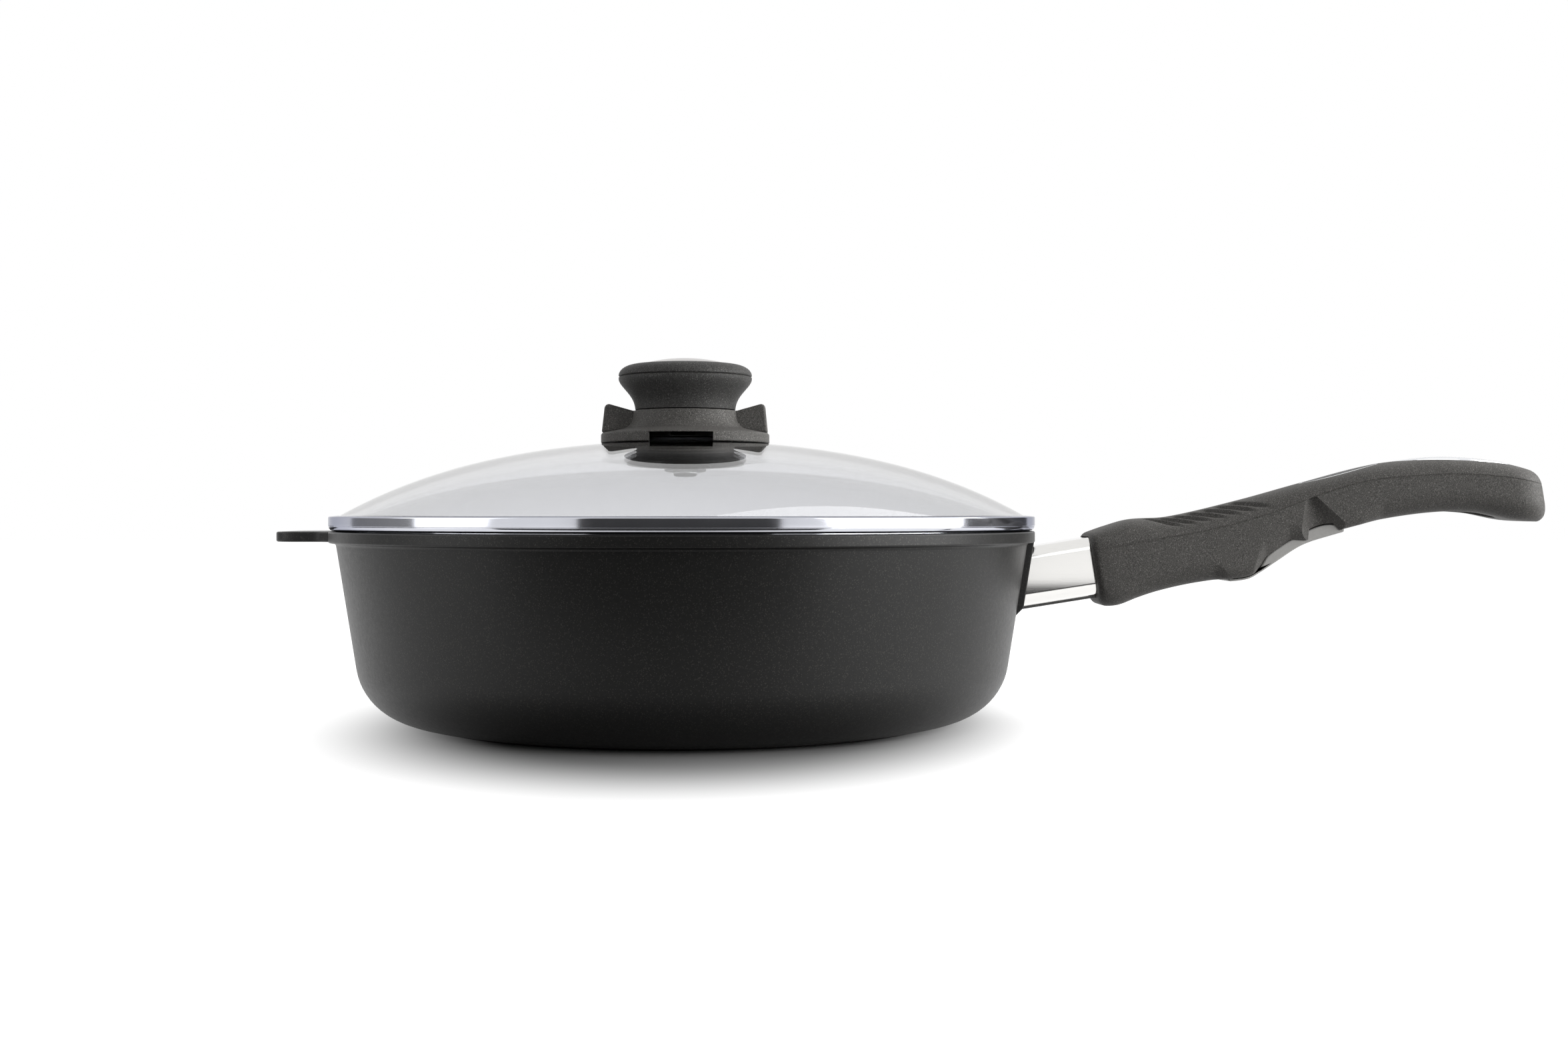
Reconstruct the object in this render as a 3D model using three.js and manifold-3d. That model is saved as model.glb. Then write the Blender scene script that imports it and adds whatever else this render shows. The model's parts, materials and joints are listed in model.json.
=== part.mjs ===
// A cast saute pan with a domed glass lid and a pull-off handle.
// Millimetres, +Z up. The origin is the centre of the pan's flat base, and the handle points along +X.
import * as THREE from "three";
import { mergeVertices } from "three/addons/utils/BufferGeometryUtils.js";
import Module from "manifold-3d";

const wasm = await Module();
wasm.setup();
const radians = THREE.MathUtils.degToRad;

// Clearances
const SEAM = 0.3; // between pieces that seat on each other
const RUNNING = 0.4; // between pieces that move past each other

// Pan casting
const MOUTH_RADIUS = 120; // a 24 cm pan, measured inside its mouth
const PAN_HEIGHT = 68.3;
const WALL = 5.1; // measured level
const WALL_DRAFT = radians(9.05);
const FLOOR = 8;
const BASE_CORNER = 22.5;
const INNER_CORNER = 17;
const FOOT_HEIGHT = 1;
const FOOT_INSET = 1.2;
const LIP_OVERHANG = 1.9;
const LIP_HEIGHT = 4;
const LIP_EDGE = 0.6;
const LIP_FILLET = 1.4;
const TAB_REACH = 19.6;
const TAB_WIDTH = 40;
const TAB_CORNER = 9;
const TAB_ROOT_FILLET = 6;
const TAB_INSET = 0.2; // of its faces from the lip's
const BOSS_WIDTH = 36;
const BOSS_STAND = 1; // of its flat face from the wall
const BOSS_DROP = 10.8; // from the handle's axis to its lower edge
const BOSS_CHAMFER = 3;

// Handle axis: it leaves the boss at this height and climbs at this angle
const HANDLE_ROOT_HEIGHT = 51.7;
const HANDLE_TILT = radians(9);

// Ferrule, the plug inside it and the bolt that ties both to the handle
const FERRULE_WIDTH = 22;
const FERRULE_HEIGHT = 20.8;
const FERRULE_CORNER = 4.5;
const FERRULE_WALL = 1;
const FERRULE_REACH = 24.8; // from the boss to the handle's collar
const FERRULE_SEAT = 7.2; // its depth inside the collar
const PLUG_LENGTH = 13;
const TONGUE_WIDTH = 12;
const TONGUE_HEIGHT = 6;
const TONGUE_REACH = 2.6; // into the boss
const BOLT_RADIUS = 2.5;
const BOLT_RISE = 1; // above the handle's axis
const BOLT_HEAD_RADIUS = 4.2;
const BOLT_HEAD_HEIGHT = 4;
const BOLT_THREAD = 8; // inside the plug
const SOCKET_WALL = 4; // between the collar's socket and the bolt's head

// Handle shells
const HANDLE_LENGTH = 167.2;
const COLLAR_EDGE = 2;
const END_EDGE = 4;
const END_PLAN_RADIUS = 14;
const LOWER_CORNER = 5.5;
const COVER_FULLNESS = 2.3; // exponent of the cover's rounded section
const STATION_PITCH = 6;
const SCOOP_DEPTH = 5.6;
const SCOOP_START = 71; // from the collar
const SCOOP_WIDTH = 30.5;
const SCOOP_LEAD = 8.6; // from its start to its apex
const SCOOP_APEX = 15.4; // above the handle's axis
const SCOOP_APEX_RADIUS = 4;

// Handle lines: [distance from the collar or from the far end, height over the ferrule's top or side face,
// or over its lower face for the bottom]
const TOP_FRONT = [[0, 1.3], [8.2, 2.9], [17.2, 4], [31.2, 2.8], [57.2, 4.6], [80.2, 7.2]];
const TOP_REAR = [[64.6, 9.6], [53.2, 9.9], [34.6, 8.6], [13.6, 3.4], [0, -2.2]];
const SEAM_FRONT = [[0, -4.6], [25.2, -4.4], [43.2, -3.8], [63.2, -1.7], [83.2, 2.3]];
const SEAM_REAR = [[65.6, 4.6], [45.6, 3.4], [30.6, 1.4], [15.6, -2.2], [0, -7.4]];
const BOTTOM_FRONT = [
  [0, -3.6], [2.6, -4.7], [7.2, -4.9], [13.8, -3.5], [21.2, -2.3], [32.2, -1.5], [43.2, -1.5], [54.2, -1.9],
  [59.2, -0.2], [65.2, 2.6], [75.2, 7], [85.2, 8.8],
];
const BOTTOM_REAR = [[63.2, 10.6], [41.6, 10.3], [27, 7.8], [13.2, 2.9], [0, 0]];
const SIDE_FRONT = [[0, 4.7], [6.2, 5], [35.2, 4], [58.2, 3.3], [85.2, 3]];
const SIDE_REAR = [[45.6, 4], [22.6, 4.5], [0, 4.2]];

// Release lever, its pin and spring, and the latch slide that it draws back
const LEVER_START = 47.4; // from the collar
const LEVER_LENGTH = 44;
const LEVER_HALF_WIDTH = 10.8;
const LEVER_THICKNESS = 1.3; // at its front
const LEVER_FRONT_LENGTH = 11;
const LEVER_PROUD = 1; // below the handle
const LEVER_STRIP_RISE = 1.6;
const LEVER_TAIL_RISE = 2.6;
const LEVER_TAIL_LENGTH = 16;
const LEVER_SWING = radians(25);
const PIVOT_SETBACK = 3.8; // from the lever's front
const PIVOT_RISE = 4.2; // above the handle's underside
const PIN_RADIUS = 1.5;
const PIN_SEAT = 1; // of each end in the handle's walls
const KNUCKLE_WALL = 0.9;
const ARM_WIDTH = 4;
const ARM_THICKNESS = 2.6;
const ARM_TIP = 1.2; // past the slide
const WIRE_RADIUS = 0.4;
const SPRING_TURNS = 3;
const SPRING_PITCH = 1.3;
const STRIP_WIDTH = 10;
const STRIP_THICKNESS = 1;
const NOSE_REACH = 3.6; // under the boss
const JOGGLE_START = 3; // behind the ferrule's end
const JOGGLE_LENGTH = 8;
const SLIDE_RISE = 5.8; // of its rear above the pivot
const SLIDE_TAIL = 3.5; // behind the arm

// Badge and hanging eye on top of the handle
const BADGE_GAP = 4.95; // between badge and eye
const BADGE_LENGTH = 30.4;
const BADGE_WIDTH = 13;
const BADGE_BAND = 1.1;
const BADGE_PROUD = 0.4;
const BADGE_DEPTH = 1.6;
const BADGE_TILT = radians(4.9);
const EYE_SETBACK = 29.5; // of its centre from the handle's end
const EYE_LENGTH = 43.7;
const EYE_WIDTH = 17;
const EYE_SLOT_LENGTH = 29;
const EYE_SLOT_WIDTH = 10;
const EYE_PROUD = 0.7;
const EYE_DEPTH = 3.2;
const EYE_LINER = 1;
const EYE_LINER_DROP = 9;

// Lid glass, rim and seal
const GLASS = 3;
const DOME_APEX = 32.8; // above the pan's lip
const DOME_RISE = 28;
const DOME_FLATNESS = 0.3; // share of the rise that comes from the fourth power of the radius
const GLASS_HOLE_RADIUS = 8.1;
const RIM_LAP = 0.5; // over the glass
const RIM_SHEET = 0.35;
const RIM_WEB = 2.3;
const RIM_HEIGHT = 4.9; // of its upright band's top over the pan
const RIM_SHOULDER = 0.5;
const RIM_BEAD = 1.65;
const RIM_CREASE = 0.3;
const RIM_BASE = 0.6;
const RIM_SKIRT_DROP = 2.6;
const RIM_SKIRT_GAP = 0.8;
const SEAL_WIDTH = 4.4;

// Knob, vent and what clamps them to the glass
const UPPER_GASKET_RADIUS = 17;
const GASKET = 0.6;
const STEM_RADIUS = 7.5;
const CORE_RADIUS = 16.5;
const CORE_FLANGE = 2.2;
const NECK_RADIUS = 8.5;
const NECK_SOCKET = 4;
const STEAM_BORE_RADIUS = 1.2;
const STEAM_BORE_CIRCLE = 5;
const STEAM_BORE_TURNS = [60, 120, 240, 300]; // degrees round the screw
const STEAM_SLOT_WIDTH = 9;
const STEAM_SLOT_HEIGHT = 1.2;
const STEAM_SLOT_WALL = 1; // between the slots and the screw's bore
const RING_RADIUS = 30.8;
const RING_BAND = 3.6;
const RING_WALL = 4;
const RING_HEIGHT = 11.9;
const RING_EDGE = 1;
const RING_SHOULDER = 5.8;
const RING_FLARE = 5; // radius of the hollow between shoulder and hub
const HUB_RADIUS = 19;
const WING_RISE = 2.9; // above the ring's hub
const WING_THICKNESS = 12;
const WING_TIP_RADIUS = 1.6;
const WINDOW_WIDTH = 22.6;
const WINDOW_HEIGHT = 3.2;
const KNOB_FOOT_RADIUS = 18.3;
const KNOB_RADIUS = 24.4;
const KNOB_BODY_HEIGHT = 12;
const KNOB_SWELL_END = 0.92; // share of its height at which the grip is widest
const KNOB_WAIST = 1.4; // exponent that lowers the grip's waist
const KNOB_HOLLOW_RADIUS = 15;
const KNOB_HOLLOW_DEPTH = 4;
const CAP_HEIGHT = 4.2;
const CAP_SHOULDER_RADIUS = 18;
const CAP_PLUG = 3; // depth inside the knob
const INLAY_RADIUS = 16.8;
const INLAY_CROWN = 2.4;
const INLAY_SEAT = 1.2;
const LOWER_GASKET_RADIUS = 20;
const WASHER_RADIUS = 21.6;
const WASHER = 0.8;
const CAGE_FLANGE_RADIUS = 9.4;
const CAGE_FLANGE = 0.9;
const CAGE_RADIUS = 7.7;
const CAGE_HEIGHT = 2.4;
const CAGE_SLOTS = 6;
const CAGE_SLOT_WIDTH = 2;
const SCREW_RADIUS = 2.1;
const SCREW_HEAD_RADIUS = 4.5;
const SCREW_HEAD_HEIGHT = 1.6;
const SCREW_THREAD = 4.2; // inside the knob

// Faceting
const PAN_SEGMENTS = 48;
const KNOB_SEGMENTS = 32;
const SMALL_SEGMENTS = 16;
const CHORD_ERROR = 0.18; // of the straight steps along an arc
const MERGE_DISTANCE = 1e-4;
const FAR = 400; // larger than any piece, for cutting blocks

// Solids and outlines

// Closed geometry as a solid for joining and cutting.
function solid(geometry) {
  const bare = new THREE.BufferGeometry();
  bare.setAttribute("position", geometry.getAttribute("position"));
  bare.setIndex(geometry.index);
  const merged = mergeVertices(bare, MERGE_DISTANCE);
  const faces = [];
  const index = merged.index.array;
  for (let i = 0; i < index.length; i += 3) {
    const [a, b, c] = index.slice(i, i + 3);
    if (a !== b && b !== c && c !== a) faces.push(a, b, c);
  }
  const vertProperties = new Float32Array(merged.getAttribute("position").array);
  const triVerts = new Uint32Array(faces);
  return new wasm.Manifold(new wasm.Mesh({ numProp: 3, vertProperties, triVerts }));
}

function geometryOf(body) {
  const { numProp, vertProperties, triVerts } = body.getMesh();
  const geometry = new THREE.BufferGeometry();
  geometry.setAttribute("position", new THREE.BufferAttribute(new Float32Array(vertProperties), numProp));
  geometry.setIndex(new THREE.BufferAttribute(new Uint32Array(triVerts), 1));
  const flat = geometry.toNonIndexed();
  flat.computeVertexNormals();
  return flat;
}

const cut = (body, cutters) => cutters.reduce((rest, cutter) => rest.subtract(cutter), body);

// An outline whose corners [x, y, radius] are rounded by arcs, of a set number of steps or as fine as needed.
function rounded(corners, closed, arcSteps) {
  const points = [];
  const count = corners.length;
  corners.forEach(([x, y, radius = 0], i) => {
    const corner = new THREE.Vector2(x, y);
    if (!radius || (!closed && (i === 0 || i === count - 1))) {
      points.push(corner);
      return;
    }
    const [bx, by] = corners[(i + count - 1) % count];
    const [ax, ay] = corners[(i + 1) % count];
    const back = new THREE.Vector2(bx, by).sub(corner).normalize();
    const ahead = new THREE.Vector2(ax, ay).sub(corner).normalize();
    const half = Math.acos(THREE.MathUtils.clamp(back.dot(ahead), -1, 1)) / 2;
    const centre = back.clone().add(ahead).normalize();
    centre.multiplyScalar(radius / Math.sin(half)).add(corner);
    const from = back.multiplyScalar(radius / Math.tan(half)).add(corner).sub(centre);
    const to = ahead.multiplyScalar(radius / Math.tan(half)).add(corner).sub(centre);
    const turn = Math.atan2(from.cross(to), from.dot(to));
    const fine = 2 * Math.acos(Math.max(1 - CHORD_ERROR / radius, 0));
    const steps = arcSteps ?? Math.ceil(Math.abs(turn) / fine);
    for (let k = 0; k <= steps; k++)
      points.push(from.clone().rotateAround(new THREE.Vector2(), (turn * k) / steps).add(centre));
  });
  return points;
}

// A smooth height line through hand-chosen [distance, height] points.
function smoothLine(points) {
  const slope = (i) => {
    const [x0, y0] = points[Math.max(i - 1, 0)];
    const [x1, y1] = points[Math.min(i + 1, points.length - 1)];
    return (y1 - y0) / (x1 - x0);
  };
  return (x) => {
    let i = 0;
    while (i < points.length - 2 && x > points[i + 1][0]) i++;
    const [x0, y0] = points[i];
    const [x1, y1] = points[i + 1];
    const span = x1 - x0;
    const t = (x - x0) / span;
    const rise = y1 - y0;
    const bend = slope(i) * span - rise;
    const unbend = rise - slope(i + 1) * span;
    return y0 + rise * t + t * (1 - t) * (bend * (1 - t) + unbend * t);
  };
}

// A profile of (radius, height) points turned about the Z axis.
function turned(points, segments = KNOB_SEGMENTS) {
  const area = THREE.ShapeUtils.area(points);
  const upward = area > 0 ? points : [...points].reverse();
  return new THREE.LatheGeometry(upward, segments).rotateX(Math.PI / 2);
}

// A closed ring profile turned about the Z axis.
function turnedRing(points, segments = KNOB_SEGMENTS) {
  return turned([...points, points[0].clone()], segments);
}

function rod(radius, from, to, segments = SMALL_SEGMENTS) {
  const corners = [[0, from], [radius, from], [radius, to], [0, to]];
  return turned(rounded(corners, false), segments);
}

// An outline in the XY plane pulled up along Z.
function upright(outline, from, to) {
  const shape = outline instanceof THREE.Shape ? outline : new THREE.Shape(outline);
  const options = { depth: to - from, bevelEnabled: false, curveSegments: 9 };
  return new THREE.ExtrudeGeometry(shape, options).translate(0, 0, from);
}

// An outline in the XZ plane given its width along Y, from left to right.
function sideways(outline, left, right) {
  const options = { depth: right - left, bevelEnabled: false };
  const geometry = new THREE.ExtrudeGeometry(new THREE.Shape(outline), options);
  return geometry.rotateX(Math.PI / 2).translate(0, right, 0);
}

// An outline in the YZ plane pulled along X.
function lengthways(outline, from, to) {
  const axes = [new THREE.Vector3(0, 1, 0), new THREE.Vector3(0, 0, 1), new THREE.Vector3(1, 0, 0)];
  const options = { depth: to - from, bevelEnabled: false };
  const geometry = new THREE.ExtrudeGeometry(new THREE.Shape(outline), options);
  return geometry.applyMatrix4(new THREE.Matrix4().makeBasis(...axes)).translate(from, 0, 0);
}

function block(xs, ys, zs) {
  const [sx, sy, sz] = [xs, ys, zs].map(([low, high]) => high - low);
  const [cx, cy, cz] = [xs, ys, zs].map(([low, high]) => (low + high) / 2);
  return new THREE.BoxGeometry(sx, sy, sz).translate(cx, cy, cz);
}

function roundedBox(width, height, corner) {
  const [w, h] = [width / 2, height / 2];
  return rounded([[-w, -h, corner], [w, -h, corner], [w, h, corner], [-w, h, corner]], true);
}

// Sections of equal point counts joined into a closed skin.
function loft(sections) {
  const count = sections[0].length;
  const positions = sections.flat().flatMap((point) => point.toArray());
  const faces = [];
  for (let s = 0; s + 1 < sections.length; s++)
    for (let i = 0; i < count; i++) {
      const a = s * count + i;
      const b = s * count + ((i + 1) % count);
      faces.push(a, b, b + count, a, b + count, a + count);
    }
  const flat = (section) => section.map((point) => new THREE.Vector2(point.y, point.z));
  const last = (sections.length - 1) * count;
  for (const [a, b, c] of THREE.ShapeUtils.triangulateShape(flat(sections[0]), [])) faces.push(c, b, a);
  for (const [a, b, c] of THREE.ShapeUtils.triangulateShape(flat(sections.at(-1)), []))
    faces.push(last + a, last + b, last + c);
  const geometry = new THREE.BufferGeometry();
  geometry.setAttribute("position", new THREE.Float32BufferAttribute(positions, 3));
  geometry.setIndex(faces);
  return geometry;
}

// Materials
const finish = (color, roughness, metalness) =>
  new THREE.MeshStandardMaterial({ color, roughness, metalness });
const coatedCasting = () => finish(0x2b2a28, 0.55, 0.35);
const darkMoulding = () => finish(0x2e2c2a, 0.62, 0);
const blackMoulding = () => finish(0x141414, 0.55, 0);
const greyMoulding = () => finish(0x8d8a84, 0.5, 0);
const stainless = () => finish(0xc4c2bd, 0.28, 1);
const polished = () => finish(0xd8dade, 0.12, 1);
const zincSteel = () => finish(0xa9a9a6, 0.4, 1);
const silicone = () => finish(0x4a4c50, 0.7, 0);

function clearGlass() {
  const material = finish(0xdfe6ee, 0.03, 0);
  material.transparent = true;
  material.opacity = 0.3;
  return material;
}

function piece(name, geometry, material) {
  const mesh = new THREE.Mesh(geometry, material);
  mesh.name = name;
  return mesh;
}

// Pan

const outerRadiusAt = (z) => MOUTH_RADIUS + WALL - Math.tan(WALL_DRAFT) * (PAN_HEIGHT - z);
const innerRadiusAt = (z) => MOUTH_RADIUS - Math.tan(WALL_DRAFT) * (PAN_HEIGHT - z);
const bossFaceAt = (z) => outerRadiusAt(z) + BOSS_STAND;
const LIP_RADIUS = MOUTH_RADIUS + WALL + LIP_OVERHANG;
const LIP_BOTTOM = PAN_HEIGHT - LIP_HEIGHT;
const HANDLE_ROOT_X = bossFaceAt(HANDLE_ROOT_HEIGHT);

// A point of the handle's frame, whose X runs up the handle's axis, in the pan's frame.
function toHandle(object) {
  object.rotation.y = -HANDLE_TILT;
  object.position.set(HANDLE_ROOT_X, 0, HANDLE_ROOT_HEIGHT);
  return object;
}

function fromHandle(geometry) {
  const frame = toHandle(new THREE.Object3D());
  frame.updateMatrix();
  return geometry.applyMatrix4(frame.matrix);
}

function panBody() {
  const cornerRadius = outerRadiusAt(FOOT_HEIGHT);
  const cornerTangent = BASE_CORNER * Math.tan((Math.PI / 2 - WALL_DRAFT) / 2);
  const footRadius = cornerRadius - cornerTangent - FOOT_INSET;
  const corners = [
    [0, 0],
    [footRadius, 0],
    [footRadius, FOOT_HEIGHT],
    [cornerRadius, FOOT_HEIGHT, BASE_CORNER],
    [outerRadiusAt(LIP_BOTTOM), LIP_BOTTOM, LIP_FILLET],
    [LIP_RADIUS, LIP_BOTTOM, LIP_EDGE],
    [LIP_RADIUS, PAN_HEIGHT, LIP_EDGE],
    [MOUTH_RADIUS, PAN_HEIGHT, LIP_EDGE],
    [innerRadiusAt(FLOOR), FLOOR, INNER_CORNER],
    [0, FLOOR],
  ];
  return solid(turned(rounded(corners, false), PAN_SEGMENTS));
}

function helperTab() {
  const root = -(MOUTH_RADIUS + WALL / 2);
  const neck = -(LIP_RADIUS + TAB_ROOT_FILLET / 2);
  const end = -(LIP_RADIUS + TAB_REACH);
  const half = TAB_WIDTH / 2;
  const flare = half + TAB_ROOT_FILLET;
  const corners = [
    [root, -flare],
    [neck, -half, TAB_ROOT_FILLET],
    [end, -half, TAB_CORNER],
    [end, half, TAB_CORNER],
    [neck, half, TAB_ROOT_FILLET],
    [root, flare],
  ];
  return solid(upright(rounded(corners, true), LIP_BOTTOM + TAB_INSET, PAN_HEIGHT - TAB_INSET));
}

function handleBoss() {
  const top = LIP_BOTTOM + LIP_HEIGHT / 2;
  const edge = HANDLE_ROOT_HEIGHT - BOSS_DROP;
  const foot = edge - BOSS_CHAMFER;
  const outline = [
    [outerRadiusAt(foot) - WALL / 2, foot],
    [bossFaceAt(edge) - BOSS_CHAMFER, foot],
    [bossFaceAt(edge), edge],
    [bossFaceAt(top), top],
    [outerRadiusAt(top) - WALL / 2, top],
  ];
  const points = rounded(outline, true);
  return solid(sideways(points, -BOSS_WIDTH / 2, BOSS_WIDTH / 2));
}

function tonguePocket() {
  const width = TONGUE_WIDTH + 2 * SEAM;
  const height = TONGUE_HEIGHT + 2 * SEAM;
  const depth = TONGUE_REACH + SEAM;
  const slope = Math.tan(WALL_DRAFT + HANDLE_TILT) * (height / 2);
  const [halfWidth, halfHeight] = [width / 2, height / 2];
  const pocket = block([-depth, slope + depth], [-halfWidth, halfWidth], [-halfHeight, halfHeight]);
  return solid(fromHandle(pocket));
}

const pan = new THREE.Group();
const casting = panBody().add(helperTab()).add(handleBoss()).subtract(tonguePocket());
pan.add(piece("pan_body", geometryOf(casting), coatedCasting()));

// Handle: lines along its length, measured from the collar and from the far end

const HALF_FERRULE = FERRULE_HEIGHT / 2;
const COLLAR = FERRULE_REACH;
const HANDLE_END = COLLAR + HANDLE_LENGTH;

function handleLine(front, rear, level) {
  const points = front.map(([distance, height]) => [COLLAR + distance, level + height]);
  for (const [distance, height] of rear) points.push([HANDLE_END - distance, level + height]);
  return smoothLine(points);
}

const topLine = handleLine(TOP_FRONT, TOP_REAR, HALF_FERRULE);
const seamLine = handleLine(SEAM_FRONT, SEAM_REAR, HALF_FERRULE);
const bottomLine = handleLine(BOTTOM_FRONT, BOTTOM_REAR, -HALF_FERRULE);
const widthLine = handleLine(SIDE_FRONT, SIDE_REAR, FERRULE_WIDTH / 2);

// How far a rounded end of the given radius draws the outline in at a distance from that end.
function drawnIn(distance, radius) {
  const past = Math.max(radius - distance, 0);
  return radius - Math.sqrt(Math.max(radius * radius - past * past, 0));
}

// The handle's outline sizes at a station along its axis.
function handleAt(u) {
  const collarEdge = drawnIn(u - COLLAR, COLLAR_EDGE);
  const endEdge = drawnIn(HANDLE_END - u, END_EDGE);
  return {
    half: widthLine(u) - collarEdge - drawnIn(HANDLE_END - u, END_PLAN_RADIUS),
    top: topLine(u) - collarEdge / 2 - endEdge,
    seam: seamLine(u),
    bottom: bottomLine(u) + collarEdge + endEdge,
  };
}

// Stations close together on the rounded ends and evenly spaced between them.
function handleStations() {
  const stations = [];
  for (const turn of [0, 30, 60]) stations.push(COLLAR + COLLAR_EDGE * (1 - Math.cos(radians(turn))));
  const straightStart = COLLAR + COLLAR_EDGE;
  const straightEnd = HANDLE_END - END_PLAN_RADIUS;
  const count = Math.ceil((straightEnd - straightStart) / STATION_PITCH);
  for (let i = 0; i <= count; i++) stations.push(straightStart + ((straightEnd - straightStart) * i) / count);
  for (const turn of [25, 45, 62, 76, 90])
    stations.push(straightEnd + END_PLAN_RADIUS * Math.sin(radians(turn)));
  return stations;
}

// The lower shell: flat seam on top, straight sides and a rounded lower edge.
function bodySection(u) {
  const { half, seam, bottom } = handleAt(u);
  const corner = Math.min(LOWER_CORNER, half * 0.9, (seam - bottom) * 0.6);
  const corners = [[half, seam], [-half, seam], [-half, bottom, corner], [half, bottom, corner]];
  return rounded(corners, true, 4).map(({ x, y }) => new THREE.Vector3(u, x, y));
}

// The upper shell: a flat seam below and a full, rounded crown.
function coverSection(u, grow) {
  const { half, seam, top } = handleAt(u);
  const low = seam + SEAM;
  const rise = top + grow - low;
  const steps = 12;
  const section = [];
  for (let k = 0; k <= steps; k++) {
    const turn = (Math.PI * k) / steps;
    const across = Math.sign(Math.cos(turn)) * Math.abs(Math.cos(turn)) ** (2 / COVER_FULLNESS);
    section.push(new THREE.Vector3(u, half * across, low + rise * Math.sin(turn) ** (2 / COVER_FULLNESS)));
  }
  return section;
}

const handleLoft = (section) => solid(loft(handleStations().map(section)));
const coverLoft = (grow) => handleLoft((u) => coverSection(u, grow));

// Everything left of the boss face, moved up the handle's axis by a gap.
function bossSide(gap) {
  const side = block([-FAR, 0], [-FAR, FAR], [-FAR, FAR]).rotateY(WALL_DRAFT + HANDLE_TILT);
  return solid(side.translate(gap, 0, 0));
}

function ferruleSocket() {
  const outline = roundedBox(FERRULE_WIDTH + 2 * SEAM, FERRULE_HEIGHT + 2 * SEAM, FERRULE_CORNER + SEAM);
  return solid(lengthways(outline, COLLAR - FERRULE_SEAT, COLLAR + FERRULE_SEAT + SEAM));
}

// Bolt: its head bears on the wall behind the ferrule's socket
const BOLT_SEAT = COLLAR + FERRULE_SEAT + SEAM + SOCKET_WALL;

function boltPassage() {
  const bore = rod(BOLT_RADIUS + SEAM, COLLAR, BOLT_SEAT + SEAM).rotateY(Math.PI / 2);
  const reach = BOLT_HEAD_RADIUS + SEAM;
  const well = block([BOLT_SEAT, BOLT_SEAT + BOLT_HEAD_HEIGHT + 2 * SEAM], [-reach, reach], [-reach, FAR]);
  return solid(bore.translate(0, 0, BOLT_RISE)).add(solid(well.translate(0, 0, BOLT_RISE)));
}

// Latch slide: a strip under the ferrule that steps up inside the handle to reach the lever's arm
const STRIP_TOP = -HALF_FERRULE - SEAM;
const STRIP_BOTTOM = STRIP_TOP - STRIP_THICKNESS;
const STEP_START = COLLAR + FERRULE_SEAT + JOGGLE_START;
const STEP_END = STEP_START + JOGGLE_LENGTH;
const LEVER_FRONT = COLLAR + LEVER_START;
const LEVER_END = LEVER_FRONT + LEVER_LENGTH;
const PIVOT_U = LEVER_FRONT + PIVOT_SETBACK;
const PIVOT_W = bottomLine(PIVOT_U) + PIVOT_RISE;
const SLIDE_LOW = PIVOT_W + SLIDE_RISE - STRIP_THICKNESS / 2;
const SLIDE_END = PIVOT_U + ARM_THICKNESS + SLIDE_TAIL;
const SLIDE_TRAVEL = SLIDE_RISE * Math.tan(LEVER_SWING);

// The slide's side outline, moved down and back on its lower side and up and forward on its upper side.
function slideOutline(front, back, below, above) {
  const lean = STRIP_THICKNESS / 2;
  const corners = [
    [-NOSE_REACH - front, STRIP_BOTTOM - below],
    [STEP_START + lean + back, STRIP_BOTTOM - below],
    [STEP_END + lean + back, SLIDE_LOW - below],
    [SLIDE_END + back, SLIDE_LOW - below],
    [SLIDE_END + back, SLIDE_LOW + STRIP_THICKNESS + above],
    [STEP_END - lean - front, SLIDE_LOW + STRIP_THICKNESS + above],
    [STEP_START - lean - front, STRIP_TOP + above],
    [-NOSE_REACH - front, STRIP_TOP + above],
  ];
  return rounded(corners, true);
}

function latchSlide() {
  const strip = solid(sideways(slideOutline(0, 0, 0, 0), -STRIP_WIDTH / 2, STRIP_WIDTH / 2));
  const half = ARM_WIDTH / 2 + RUNNING;
  const reach = ARM_THICKNESS / 2 / Math.cos(LEVER_SWING) + RUNNING;
  const slot = block([PIVOT_U - reach, PIVOT_U + reach], [-half, half], [SLIDE_LOW - FAR, SLIDE_LOW + FAR]);
  return strip.subtract(solid(slot));
}

function slideChannel() {
  const half = STRIP_WIDTH / 2 + RUNNING;
  const outline = slideOutline(RUNNING, SLIDE_TRAVEL + RUNNING, RUNNING, RUNNING);
  return solid(sideways(outline, -half, half));
}

// Release lever: a curved plate under the handle, with a thicker tail, a hinge knuckle and a pull arm
const tailLine = smoothLine([
  [LEVER_FRONT, LEVER_THICKNESS - LEVER_PROUD],
  [LEVER_FRONT + LEVER_FRONT_LENGTH, LEVER_THICKNESS - LEVER_PROUD],
  [LEVER_FRONT + LEVER_FRONT_LENGTH * 1.8, LEVER_STRIP_RISE],
  [LEVER_END - LEVER_TAIL_LENGTH, LEVER_STRIP_RISE],
  [LEVER_END - LEVER_TAIL_LENGTH * 0.8, LEVER_TAIL_RISE],
  [LEVER_END - LEVER_TAIL_LENGTH * 0.4, LEVER_TAIL_RISE],
  [LEVER_END, LEVER_TAIL_RISE / 2],
]);
const KNUCKLE_RADIUS = PIN_RADIUS + SEAM + KNUCKLE_WALL;
const ARM_TOP = SLIDE_LOW + STRIP_THICKNESS + ARM_TIP;
const SPRING_RADIUS = PIN_RADIUS + SEAM + WIRE_RADIUS;
const SPRING_WIDTH = SPRING_TURNS * SPRING_PITCH + 2 * WIRE_RADIUS;
const SPRING_START = ARM_WIDTH / 2 + RUNNING;

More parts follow.
